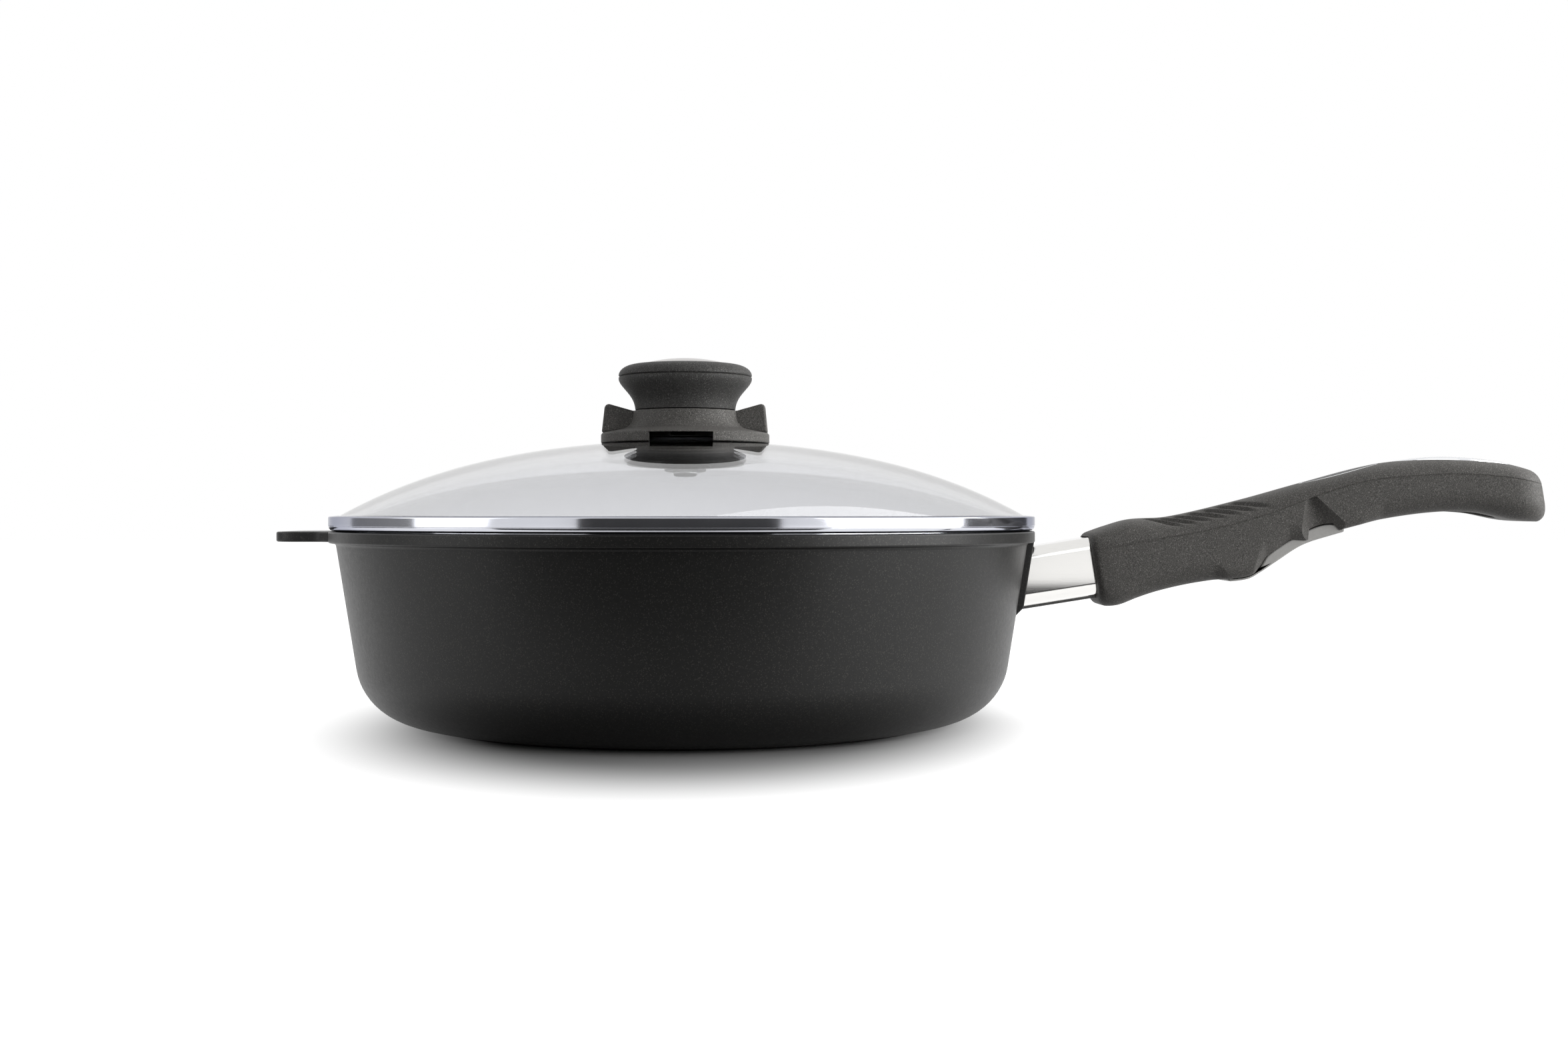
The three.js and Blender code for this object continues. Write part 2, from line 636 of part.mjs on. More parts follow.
// The plate's side outline between the lever's ends, grown upwards and lengthwise.
function leverOutline(lift, reach, drop) {
  const steps = 14;
  const [from, to] = [LEVER_FRONT - reach, LEVER_END + 2 * reach];
  const at = (k) => from + ((to - from) * k) / steps;
  const outline = [];
  for (let k = 0; k <= steps; k++)
    outline.push(new THREE.Vector2(at(k), bottomLine(at(k)) - LEVER_PROUD - drop));
  for (let k = steps; k >= 0; k--)
    outline.push(new THREE.Vector2(at(k), bottomLine(at(k)) + tailLine(at(k)) + lift));
  return outline;
}

function pivotRod(radius, left, right) {
  const round = rod(radius, left, right).rotateX(-Math.PI / 2);
  return solid(round.translate(PIVOT_U, 0, PIVOT_W));
}

function releaseLever() {
  const plate = solid(sideways(leverOutline(0, 0, 0), -LEVER_HALF_WIDTH, LEVER_HALF_WIDTH));
  const [left, right] = [PIVOT_U - KNUCKLE_RADIUS, PIVOT_U + KNUCKLE_RADIUS];
  const root = bottomLine(PIVOT_U);
  const web = solid(block([left, right], [-LEVER_HALF_WIDTH, LEVER_HALF_WIDTH], [root, PIVOT_W]));
  const knuckle = pivotRod(KNUCKLE_RADIUS, -LEVER_HALF_WIDTH, LEVER_HALF_WIDTH);
  const arm = solid(block(
    [PIVOT_U - ARM_THICKNESS / 2, PIVOT_U + ARM_THICKNESS / 2],
    [-ARM_WIDTH / 2, ARM_WIDTH / 2],
    [PIVOT_W, ARM_TOP],
  ));
  const springRoom = block(
    [left - FAR, right + SEAM],
    [SPRING_START, SPRING_START + SPRING_WIDTH + 2 * SEAM],
    [root + LEVER_THICKNESS - LEVER_PROUD, PIVOT_W + FAR],
  );
  const bore = pivotRod(PIN_RADIUS + SEAM, -FAR, FAR);
  return plate.add(web).add(knuckle).add(arm).subtract(solid(springRoom)).subtract(bore);
}

function leverPocket() {
  const half = LEVER_HALF_WIDTH + RUNNING;
  const bay = solid(sideways(leverOutline(RUNNING, RUNNING, FAR), -half, half));
  const swept = Math.hypot(PIVOT_SETBACK, PIVOT_RISE + LEVER_PROUD) + RUNNING;
  const roof = PIVOT_W + KNUCKLE_RADIUS + RUNNING;
  const front = PIVOT_U - swept * Math.cos(Math.atan2(PIVOT_RISE + LEVER_PROUD, PIVOT_SETBACK) - LEVER_SWING);
  const hinge = solid(block([front, PIVOT_U + KNUCKLE_RADIUS + 2 * RUNNING], [-half, half], [-FAR, roof]));
  const armHalf = ARM_WIDTH / 2 + RUNNING;
  const tip = (ARM_TOP - PIVOT_W) * Math.sin(LEVER_SWING) + ARM_THICKNESS;
  const armRoom = block(
    [PIVOT_U - ARM_THICKNESS, PIVOT_U + tip + RUNNING],
    [-armHalf, armHalf],
    [-FAR, ARM_TOP + RUNNING],
  );
  const seat = LEVER_HALF_WIDTH + RUNNING + PIN_SEAT + SEAM;
  return bay.add(hinge).add(solid(armRoom)).add(pivotRod(PIN_RADIUS + SEAM, -seat, seat));
}

// Finger scoops: they slope into the handle's sides, down to the lever's tail
function fingerScoops() {
  const start = COLLAR + SCOOP_START;
  const base = -HALF_FERRULE;
  const corners = [
    [start, base],
    [start + SCOOP_WIDTH, base],
    [start + SCOOP_LEAD, SCOOP_APEX, SCOOP_APEX_RADIUS],
  ];
  const lean = Math.atan2(SCOOP_DEPTH, SCOOP_APEX - base);
  const side = widthLine(start + SCOOP_LEAD);
  const scoop = (left, right, sign) => {
    const wedge = sideways(rounded(corners, true), left, right).translate(0, 0, -SCOOP_APEX);
    return solid(wedge.rotateX(-sign * lean).translate(0, sign * side, SCOOP_APEX));
  };
  return scoop(0, FAR, 1).add(scoop(-FAR, 0, -1));
}

// Badge and hanging eye: upright ovals that take the cover's crown on top
const EYE_U = HANDLE_END - EYE_SETBACK;
const BADGE_U = EYE_U - EYE_LENGTH / 2 - BADGE_GAP - BADGE_LENGTH / 2;

function oval(length, width) {
  return new THREE.Shape().absellipse(0, 0, length / 2, width / 2, 0, 2 * Math.PI);
}

function ovalBand(length, width, innerLength, innerWidth) {
  const band = oval(length, width);
  band.holes.push(oval(innerLength, innerWidth));
  return band;
}

const onBadge = (shape, from, to) =>
  solid(upright(shape, from, to).rotateY(-BADGE_TILT).translate(BADGE_U, 0, topLine(BADGE_U)));
const onEye = (shape, from, to) =>
  solid(upright(shape, from, to).rotateY(HANDLE_TILT).translate(EYE_U, 0, topLine(EYE_U)));
const eyeLinerShape = (grow) =>
  oval(EYE_SLOT_LENGTH + 2 * (EYE_LINER + grow), EYE_SLOT_WIDTH + 2 * (EYE_LINER + grow));

function badgeFrame() {
  const inner = [BADGE_LENGTH - 2 * BADGE_BAND, BADGE_WIDTH - 2 * BADGE_BAND];
  const band = onBadge(ovalBand(BADGE_LENGTH, BADGE_WIDTH, ...inner), -BADGE_DEPTH, FAR);
  return band.intersect(coverLoft(BADGE_PROUD));
}

function badgePlate() {
  const inset = 2 * (BADGE_BAND + SEAM);
  const plate = onBadge(oval(BADGE_LENGTH - inset, BADGE_WIDTH - inset), -BADGE_DEPTH, FAR);
  return plate.intersect(coverLoft(BADGE_PROUD / 2));
}

function hangEyeFrame() {
  const flange = onEye(oval(EYE_LENGTH, EYE_WIDTH), -EYE_DEPTH, FAR).intersect(coverLoft(EYE_PROUD));
  const liner = onEye(eyeLinerShape(0), -EYE_LINER_DROP, -EYE_DEPTH / 2);
  return flange.add(liner).subtract(onEye(oval(EYE_SLOT_LENGTH, EYE_SLOT_WIDTH), -FAR, FAR));
}

function handleCover() {
  const badgeSeat = onBadge(oval(BADGE_LENGTH + 2 * SEAM, BADGE_WIDTH + 2 * SEAM), -BADGE_DEPTH - SEAM, FAR);
  const eyeSeat = onEye(oval(EYE_LENGTH + 2 * SEAM, EYE_WIDTH + 2 * SEAM), -EYE_DEPTH - SEAM, FAR);
  const eyeHole = onEye(eyeLinerShape(SEAM), -FAR, FAR);
  return cut(coverLoft(0), [badgeSeat, eyeSeat, eyeHole, ferruleSocket()]);
}

function handleBody() {
  const eyeHole = onEye(eyeLinerShape(SEAM), -FAR, FAR);
  const cutters = [ferruleSocket(), boltPassage(), slideChannel(), leverPocket(), fingerScoops(), eyeHole];
  return cut(handleLoft(bodySection), cutters);
}

function ferrule() {
  const outer = roundedBox(FERRULE_WIDTH, FERRULE_HEIGHT, FERRULE_CORNER);
  const inset = 2 * FERRULE_WALL;
  const inner = roundedBox(FERRULE_WIDTH - inset, FERRULE_HEIGHT - inset, FERRULE_CORNER - FERRULE_WALL);
  const [from, to] = [-FERRULE_HEIGHT, COLLAR + FERRULE_SEAT];
  const tube = solid(lengthways(outer, from, to)).subtract(solid(lengthways(inner, from - SEAM, to + SEAM)));
  return tube.subtract(bossSide(SEAM));
}

function ferrulePlug() {
  const inset = 2 * (FERRULE_WALL + SEAM);
  const corner = FERRULE_CORNER - FERRULE_WALL - SEAM;
  const outline = roundedBox(FERRULE_WIDTH - inset, FERRULE_HEIGHT - inset, corner);
  const core = solid(lengthways(outline, -FERRULE_HEIGHT, PLUG_LENGTH)).subtract(bossSide(SEAM));
  const [halfWidth, halfHeight] = [TONGUE_WIDTH / 2, TONGUE_HEIGHT / 2];
  const tongue = block([-TONGUE_REACH, PLUG_LENGTH / 2], [-halfWidth, halfWidth], [-halfHeight, halfHeight]);
  const thread = rod(BOLT_RADIUS + SEAM, PLUG_LENGTH - BOLT_THREAD - SEAM, PLUG_LENGTH + SEAM);
  const hole = solid(thread.rotateY(Math.PI / 2).translate(0, 0, BOLT_RISE));
  return core.add(solid(tongue)).subtract(hole);
}

function tieBolt() {
  const shank = solid(rod(BOLT_RADIUS, PLUG_LENGTH - BOLT_THREAD, BOLT_SEAT + SEAM + BOLT_HEAD_HEIGHT / 2));
  const head = solid(rod(BOLT_HEAD_RADIUS, BOLT_SEAT + SEAM, BOLT_SEAT + SEAM + BOLT_HEAD_HEIGHT));
  const across = BOLT_HEAD_RADIUS / 2;
  const key = new THREE.CylinderGeometry(across, across, BOLT_HEAD_HEIGHT, 6).rotateX(Math.PI / 2);
  const socket = solid(key.translate(0, 0, BOLT_SEAT + SEAM + BOLT_HEAD_HEIGHT));
  const bolt = geometryOf(shank.add(head).subtract(socket));
  return bolt.rotateY(Math.PI / 2).translate(0, 0, BOLT_RISE);
}

function leverPin() {
  const half = LEVER_HALF_WIDTH + RUNNING + PIN_SEAT;
  return pivotRod(PIN_RADIUS, -half, half);
}

// A torsion spring: straight legs reach forward from the bottom and the top of the coil.
function leverSpring() {
  const perTurn = 8;
  const sides = 6;
  const count = Math.round((SPRING_TURNS - 0.5) * perTurn);
  const start = SPRING_START + SEAM + WIRE_RADIUS;
  const width = SPRING_TURNS * SPRING_PITCH;
  const point = (ahead, share, up) =>
    new THREE.Vector3(PIVOT_U + ahead, start + width * share, PIVOT_W + up);
  const path = [point(-PIVOT_SETBACK, 0, -SPRING_RADIUS)];
  for (let k = 0; k <= count; k++) {
    const turn = (2 * Math.PI * k) / perTurn - Math.PI / 2;
    path.push(point(SPRING_RADIUS * Math.cos(turn), k / count, SPRING_RADIUS * Math.sin(turn)));
  }
  path.push(point(-PIVOT_SETBACK, 1, SPRING_RADIUS));
  const wire = new THREE.Shape().absarc(0, 0, WIRE_RADIUS, 0, 2 * Math.PI);
  const options = {
    extrudePath: new THREE.CatmullRomCurve3(path),
    steps: 2 * path.length,
    curveSegments: sides / 2,
    bevelEnabled: false,
  };
  return new THREE.ExtrudeGeometry(wire, options);
}

const handle = toHandle(new THREE.Group());
handle.add(
  piece("handle_body", geometryOf(handleBody()), darkMoulding()),
  piece("handle_cover", geometryOf(handleCover()), darkMoulding()),
  piece("ferrule", geometryOf(ferrule()), stainless()),
  piece("ferrule_plug", geometryOf(ferrulePlug()), zincSteel()),
  piece("tie_bolt", tieBolt(), zincSteel()),
  piece("badge_frame", geometryOf(badgeFrame()), polished()),
  piece("badge_plate", geometryOf(badgePlate()), blackMoulding()),
  piece("hang_eye_frame", geometryOf(hangEyeFrame()), polished()),
  piece("lever_pin", geometryOf(leverPin()), zincSteel()),
  piece("lever_spring", leverSpring(), zincSteel()),
  piece("release_lever", geometryOf(releaseLever()), greyMoulding()),
  piece("latch_slide", geometryOf(latchSlide()), stainless()),
);

// Lid: heights from the pan's lip up through the glass, and the stack that is clamped to it

const LID_SEAT = PAN_HEIGHT + SEAM;
const RIM_CHANNEL = LIP_RADIUS - RIM_WEB; // the rim is flush with the pan's lip
const GLASS_RADIUS = RIM_CHANNEL - SEAM;

function glassTop(radius) {
  const share = radius / GLASS_RADIUS;
  const fall = (1 - DOME_FLATNESS) * share ** 2 + DOME_FLATNESS * share ** 4;
  return PAN_HEIGHT + DOME_APEX - DOME_RISE * fall;
}

const glassUnder = (radius) => glassTop(radius) - GLASS;

function lidGlass() {
  const steps = 6;
  const span = GLASS_RADIUS - GLASS_HOLE_RADIUS;
  const radii = Array.from({ length: steps + 1 }, (_, k) => GLASS_HOLE_RADIUS + (span * k) / steps);
  const under = radii.map((radius) => new THREE.Vector2(radius, glassUnder(radius)));
  const top = radii.map((radius) => new THREE.Vector2(radius, glassTop(radius)));
  return turnedRing([...under, ...top.reverse()], PAN_SEGMENTS);
}

const RIM_SHELF = LID_SEAT + RIM_BASE;

function lidRim() {
  const outer = LIP_RADIUS;
  const lap = GLASS_RADIUS - RIM_LAP;
  const crease = LID_SEAT + RIM_BEAD;
  const skirt = innerRadiusAt(PAN_HEIGHT - RIM_SKIRT_DROP) - RIM_SKIRT_GAP;
  const corners = [
    [lap, glassTop(lap) + SEAM],
    [RIM_CHANNEL, glassTop(RIM_CHANNEL) + SEAM],
    [RIM_CHANNEL, RIM_SHELF],
    [skirt - RIM_SHEET, RIM_SHELF],
    [skirt - RIM_SHEET, LID_SEAT - RIM_SKIRT_DROP],
    [skirt, LID_SEAT - RIM_SKIRT_DROP],
    [skirt, LID_SEAT],
    [outer - RIM_CREASE / 2, LID_SEAT, 0.9 * (RIM_BEAD - RIM_CREASE)],
    [outer - RIM_CREASE / 2, crease - RIM_CREASE],
    [outer - RIM_CREASE, crease],
    [outer, crease + RIM_CREASE],
    [outer, LID_SEAT + RIM_HEIGHT, RIM_SHOULDER],
    [lap, glassTop(lap) + SEAM + RIM_SHEET],
  ];
  return turnedRing(rounded(corners, true), PAN_SEGMENTS);
}

function rimSeal() {
  const inner = GLASS_RADIUS - SEAL_WIDTH;
  const corners = [
    [inner, RIM_SHELF + SEAM],
    [GLASS_RADIUS, RIM_SHELF + SEAM],
    [GLASS_RADIUS, glassUnder(GLASS_RADIUS) - SEAM],
    [inner, glassUnder(inner) - SEAM],
  ];
  return turnedRing(rounded(corners, true), PAN_SEGMENTS);
}

const HOLE = GLASS_HOLE_RADIUS;
const UPPER_GASKET_TOP = glassTop(HOLE) + SEAM + GASKET;
const CORE_BOTTOM = UPPER_GASKET_TOP + SEAM;
const CORE_TOP = CORE_BOTTOM + CORE_FLANGE;
const RING_BOTTOM = glassTop(RING_RADIUS) + RUNNING;
const RING_TOP = RING_BOTTOM + RING_HEIGHT;
const KNOB_BOTTOM = RING_TOP + RUNNING;
const KNOB_TOP = KNOB_BOTTOM + KNOB_BODY_HEIGHT;
const SOCKET_TOP = KNOB_BOTTOM + NECK_SOCKET;
const CAP_BOTTOM = KNOB_TOP + SEAM;
const CAP_TOP = CAP_BOTTOM + CAP_HEIGHT;
const LOWER_GASKET_BOTTOM = glassUnder(LOWER_GASKET_RADIUS) - SEAM - GASKET;
const WASHER_TOP = LOWER_GASKET_BOTTOM - SEAM;
const WASHER_BOTTOM = WASHER_TOP - WASHER;
const CAGE_TOP = WASHER_BOTTOM - SEAM;
const CAGE_BOTTOM = CAGE_TOP - CAGE_HEIGHT;
const SCREW_BORE = SCREW_RADIUS + SEAM;

function upperGasket() {
  const corners = [
    [HOLE, glassTop(HOLE) + SEAM],
    [UPPER_GASKET_RADIUS, glassTop(UPPER_GASKET_RADIUS) + SEAM],
    [UPPER_GASKET_RADIUS, UPPER_GASKET_TOP],
    [HOLE, UPPER_GASKET_TOP],
  ];
  return turnedRing(rounded(corners, true));
}

function lowerGasket() {
  const corners = [
    [HOLE, LOWER_GASKET_BOTTOM],
    [LOWER_GASKET_RADIUS, LOWER_GASKET_BOTTOM],
    [LOWER_GASKET_RADIUS, glassUnder(LOWER_GASKET_RADIUS) - SEAM],
    [HOLE, glassUnder(HOLE) - SEAM],
  ];
  return turnedRing(rounded(corners, true));
}

function underWasher() {
  const corners = [
    [HOLE, WASHER_BOTTOM],
    [WASHER_RADIUS, WASHER_BOTTOM],
    [WASHER_RADIUS, WASHER_TOP],
    [HOLE, WASHER_TOP],
  ];
  return turnedRing(rounded(corners, true));
}

// The upright steam passages beside the screw.
function steamBores(from, to) {
  return STEAM_BORE_TURNS.map((turn) => {
    const bore = rod(STEAM_BORE_RADIUS, from, to, SMALL_SEGMENTS / 2).translate(STEAM_BORE_CIRCLE, 0, 0);
    return solid(bore.rotateZ(radians(turn)));
  });
}

function ventCore() {
  const corners = [
    [SCREW_BORE, WASHER_BOTTOM],
    [STEM_RADIUS, WASHER_BOTTOM],
    [STEM_RADIUS, CORE_BOTTOM],
    [CORE_RADIUS, CORE_BOTTOM],
    [CORE_RADIUS, CORE_TOP],
    [NECK_RADIUS, CORE_TOP],
    [NECK_RADIUS, SOCKET_TOP - SEAM],
    [SCREW_BORE, SOCKET_TOP - SEAM],
  ];
  const slotBottom = CORE_TOP - CORE_FLANGE / 2 - STEAM_SLOT_HEIGHT / 2;
  const slotTop = slotBottom + STEAM_SLOT_HEIGHT;
  const half = STEAM_SLOT_WIDTH / 2;
  const inner = SCREW_BORE + STEAM_SLOT_WALL;
  const ways = [[-FAR, -inner], [inner, FAR]];
  const slots = ways.map((ys) => solid(block([-half, half], ys, [slotBottom, slotTop])));
  const bores = steamBores(WASHER_BOTTOM - SEAM, slotTop);
  return cut(solid(turnedRing(rounded(corners, true))), [...bores, ...slots]);
}

function ventRing() {
  const cavity = RING_RADIUS - RING_WALL;
  const roof = CORE_TOP + RUNNING;
  const bore = NECK_RADIUS + RUNNING;
  const shoulder = RING_BOTTOM + RING_SHOULDER;
  const corners = [
    [cavity, RING_BOTTOM],
    [RING_RADIUS, RING_BOTTOM],
    [RING_RADIUS, RING_BOTTOM + RING_BAND, RING_EDGE],
    [HUB_RADIUS + RING_EDGE, shoulder, RING_FLARE],
    [HUB_RADIUS, RING_TOP],
    [bore, RING_TOP],
    [bore, roof],
    [CORE_RADIUS + RING_EDGE, roof],
    [cavity, RING_BOTTOM + WINDOW_HEIGHT],
  ];
  const turnedBody = solid(turnedRing(rounded(corners, true)));
  const tip = RING_RADIUS - 1.6 * RING_EDGE;
  const wingCorners = [
    [HUB_RADIUS - RING_FLARE, roof + RING_EDGE],
    [RING_RADIUS - RING_EDGE / 2, RING_BOTTOM + RING_BAND],
    [tip, RING_TOP + WING_RISE, WING_TIP_RADIUS],
    [HUB_RADIUS, RING_TOP],
    [HUB_RADIUS - RING_FLARE, RING_TOP],
  ];
  const half = WING_THICKNESS / 2;
  const wing = () => sideways(rounded(wingCorners, true), -half, half);
  const inside = solid(rod(RING_RADIUS, RING_BOTTOM, RING_TOP + FAR, KNOB_SEGMENTS));
  const hubBore = solid(rod(bore, RING_BOTTOM - FAR, RING_TOP + FAR, KNOB_SEGMENTS));
  const wings = solid(wing()).add(solid(wing().rotateZ(Math.PI))).intersect(inside).subtract(hubBore);
  const window = block(
    [-WINDOW_WIDTH / 2, WINDOW_WIDTH / 2],
    [-RING_RADIUS - RUNNING, -cavity + RING_WALL],
    [RING_BOTTOM - RUNNING, RING_BOTTOM + WINDOW_HEIGHT],
  );
  return turnedBody.add(wings).subtract(solid(window));
}

function knobBody() {
  const steps = 8;
  const grip = Array.from({ length: steps + 1 }, (_, k) => {
    const share = k / steps;
    const rise = Math.min(share / KNOB_SWELL_END, 1);
    const swell = (3 * THREE.MathUtils.smoothstep(rise ** KNOB_WAIST, 0, 1) + rise) / 4;
    const radius = KNOB_FOOT_RADIUS + (KNOB_RADIUS - KNOB_FOOT_RADIUS) * swell;
    return new THREE.Vector2(radius, KNOB_BOTTOM + KNOB_BODY_HEIGHT * share);
  });
  const inside = [
    [KNOB_HOLLOW_RADIUS, KNOB_TOP],
    [KNOB_HOLLOW_RADIUS, KNOB_TOP - KNOB_HOLLOW_DEPTH],
    [SCREW_BORE, KNOB_TOP - KNOB_HOLLOW_DEPTH],
    [SCREW_BORE, SOCKET_TOP],
    [NECK_RADIUS + SEAM, SOCKET_TOP],
    [NECK_RADIUS + SEAM, KNOB_BOTTOM],
  ];
  return turnedRing([...grip, ...rounded(inside, true)]);
}

function knobCap() {
  const steps = 5;
  const crown = Array.from({ length: steps + 1 }, (_, k) => {
    const turn = (Math.PI / 2) * (k / steps);
    const radius = CAP_SHOULDER_RADIUS + (KNOB_RADIUS - CAP_SHOULDER_RADIUS) * Math.cos(turn);
    return new THREE.Vector2(radius, CAP_BOTTOM + CAP_HEIGHT * Math.sin(turn));
  });
  const plugRadius = KNOB_HOLLOW_RADIUS - SEAM;
  const under = [[0, CAP_BOTTOM - CAP_PLUG], [plugRadius, CAP_BOTTOM - CAP_PLUG], [plugRadius, CAP_BOTTOM]];
  const seat = INLAY_RADIUS + SEAM;
  const recess = [[seat, CAP_TOP], [seat, CAP_TOP - INLAY_SEAT], [0, CAP_TOP - INLAY_SEAT]];
  return turned([...rounded(under, false), ...crown, ...rounded(recess, false)]);
}

function knobInlay() {
  const bottom = CAP_TOP - INLAY_SEAT + SEAM;
  const steps = 4;
  const dome = Array.from({ length: steps + 1 }, (_, k) => {
    const share = 1 - k / steps;
    return new THREE.Vector2(INLAY_RADIUS * share, CAP_TOP + INLAY_CROWN * (1 - share ** 2));
  });
  return turned([new THREE.Vector2(0, bottom), new THREE.Vector2(INLAY_RADIUS, bottom), ...dome]);
}

function ventCage() {
  const flange = CAGE_TOP - CAGE_FLANGE;
  const corners = [
    [SCREW_BORE, CAGE_BOTTOM],
    [CAGE_RADIUS, CAGE_BOTTOM, CAGE_FLANGE / 2],
    [CAGE_RADIUS, flange],
    [CAGE_FLANGE_RADIUS, flange],
    [CAGE_FLANGE_RADIUS, CAGE_TOP],
    [SCREW_BORE, CAGE_TOP],
  ];
  const half = CAGE_SLOT_WIDTH / 2;
  const slots = Array.from({ length: CAGE_SLOTS }, (_, k) => {
    const slot = block([STEAM_BORE_CIRCLE, FAR], [-half, half], [CAGE_BOTTOM + CAGE_FLANGE / 2, flange]);
    return solid(slot.rotateZ((2 * Math.PI * k) / CAGE_SLOTS));
  });
  const bores = steamBores(CAGE_BOTTOM + CAGE_FLANGE / 2, CAGE_TOP + SEAM);
  return cut(solid(turnedRing(rounded(corners, true))), [...slots, ...bores]);
}

function lidScrew() {
  const bearing = CAGE_BOTTOM - SEAM;
  const corners = [
    [0, bearing - SCREW_HEAD_HEIGHT],
    [SCREW_HEAD_RADIUS, bearing - SCREW_HEAD_HEIGHT, SCREW_HEAD_HEIGHT * 0.8],
    [SCREW_HEAD_RADIUS, bearing],
    [SCREW_RADIUS, bearing],
    [SCREW_RADIUS, SOCKET_TOP + SCREW_THREAD],
    [0, SOCKET_TOP + SCREW_THREAD],
  ];
  const slotHalf = SCREW_RADIUS / 4;
  const slotTop = bearing - SCREW_HEAD_HEIGHT / 2;
  const slot = block([-FAR, FAR], [-slotHalf, slotHalf], [-FAR, slotTop]);
  return solid(turned(rounded(corners, false), SMALL_SEGMENTS)).subtract(solid(slot));
}

const lid = new THREE.Group();
lid.add(
  piece("lid_glass", lidGlass(), clearGlass()),
  piece("lid_rim", lidRim(), polished()),
  piece("rim_seal", rimSeal(), silicone()),
  piece("upper_gasket", upperGasket(), silicone()),
  piece("lower_gasket", lowerGasket(), silicone()),
  piece("under_washer", underWasher(), blackMoulding()),
  piece("vent_cage", geometryOf(ventCage()), blackMoulding()),
  piece("lid_screw", geometryOf(lidScrew()), zincSteel()),
  piece("vent_core", geometryOf(ventCore()), blackMoulding()),
  piece("vent_ring", geometryOf(ventRing()), darkMoulding()),
  piece("knob_body", knobBody(), darkMoulding()),
  piece("knob_cap", knobCap(), darkMoulding()),
  piece("knob_inlay", knobInlay(), polished()),
);

const sautePan = new THREE.Group();
sautePan.add(pan, handle, lid);

export default sautePan;
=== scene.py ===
import json
import math

import bmesh
import bpy
import numpy as np
from mathutils import Matrix, Vector


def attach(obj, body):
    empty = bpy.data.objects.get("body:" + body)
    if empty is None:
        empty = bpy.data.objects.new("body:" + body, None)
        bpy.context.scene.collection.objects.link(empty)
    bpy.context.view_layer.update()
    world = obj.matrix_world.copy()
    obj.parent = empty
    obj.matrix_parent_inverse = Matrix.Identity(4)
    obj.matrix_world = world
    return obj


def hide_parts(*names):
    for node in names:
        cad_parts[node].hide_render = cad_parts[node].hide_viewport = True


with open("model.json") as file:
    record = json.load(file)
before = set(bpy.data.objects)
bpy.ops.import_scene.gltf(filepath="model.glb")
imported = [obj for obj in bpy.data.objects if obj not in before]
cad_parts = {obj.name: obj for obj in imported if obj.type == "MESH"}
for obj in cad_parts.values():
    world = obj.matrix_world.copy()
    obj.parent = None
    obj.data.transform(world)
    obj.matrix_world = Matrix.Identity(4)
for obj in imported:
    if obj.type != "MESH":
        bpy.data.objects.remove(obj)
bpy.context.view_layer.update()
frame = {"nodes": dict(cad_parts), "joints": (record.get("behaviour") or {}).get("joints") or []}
bpy.context.scene.view_settings.view_transform = "Standard"

# Pan casting
# A thick aluminium casting with a helper tab on one side and a flat boss for the handle on the other.
# Lip, wall and base are turned, and a dark non-stick coating with fine metal flakes is sprayed on.
MM = 0.001
MOUTH_RADIUS = 120
PAN_HEIGHT = 68.3
WALL = 5.1
WALL_DRAFT = math.radians(9.05)
FLOOR = 8
BASE_CORNER = 22.5
INNER_CORNER = 17
FOOT_HEIGHT = 1
FOOT_INSET = 1.2
LIP_OVERHANG = 1.9
LIP_HEIGHT = 4
LIP_EDGE = 0.6
LIP_FILLET = 1.4
TAB_REACH = 19.6
TAB_WIDTH = 40
TAB_CORNER = 9
TAB_ROOT_FILLET = 6
TAB_INSET = 0.2
BOSS_WIDTH = 36
BOSS_STAND = 1
BOSS_DROP = 10.8
BOSS_CHAMFER = 3
HANDLE_ROOT_HEIGHT = 51.7
SEAM = 0.3


class Wire:
    """A node socket. Sums on it add Math nodes, and make adds any other node and links it."""

    def __init__(self, tree, socket=None):
        self.tree = tree
        self.socket = socket

    def make(self, kind, settings=(), inputs=(), output=0):
        """Adds a node: its settings first, then the values or links of its inputs."""
        node = self.tree.nodes.new(kind)
        for name, value in dict(settings).items():
            setattr(node, name, value)
        for name, value in dict(inputs).items():
            if isinstance(value, Wire):
                self.tree.links.new(value.socket, node.inputs[name])
            else:
                node.inputs[name].default_value = value
        return Wire(self.tree, node.outputs[output])

    def math(self, operation, first, second=0.0):
        return self.make("ShaderNodeMath", {"operation": operation}, {0: first, 1: second})

    def __add__(self, other):
        return self.math("ADD", self, other)

    def __sub__(self, other):
        return self.math("SUBTRACT", self, other)

    def __mul__(self, other):
        return self.math("MULTIPLY", self, other)

    def __truediv__(self, other):
        return self.math("DIVIDE", self, other)

    def __radd__(self, other):
        return self.math("ADD", other, self)

    def __rsub__(self, other):
        return self.math("SUBTRACT", other, self)

    def __rmul__(self, other):
        return self.math("MULTIPLY", other, self)

    def __rtruediv__(self, other):
        return self.math("DIVIDE", other, self)

    def step(self, low, high, start=0.0, end=1.0):
        """A smooth step from start, at low, to end, at high."""
        inputs = {"Value": self, "From Min": low, "From Max": high, "To Min": start, "To Max": end}
        return self.make("ShaderNodeMapRange", {"interpolation_type": "SMOOTHSTEP"}, inputs)

    def mix(self, first, second):
        """The first colour where this factor is 0 and the second where it is 1."""
        return self.make("ShaderNodeMix", {"data_type": "RGBA"}, {0: self, 6: first, 7: second}, 2)

    def axis(self, name):
        """One axis of this vector."""
        return self.make("ShaderNodeSeparateXYZ", (), {"Vector": self}, name)

    def into(self, shader, name):
        """Links this socket to one of a shader's inputs."""
        self.tree.links.new(self.socket, shader.inputs[name])


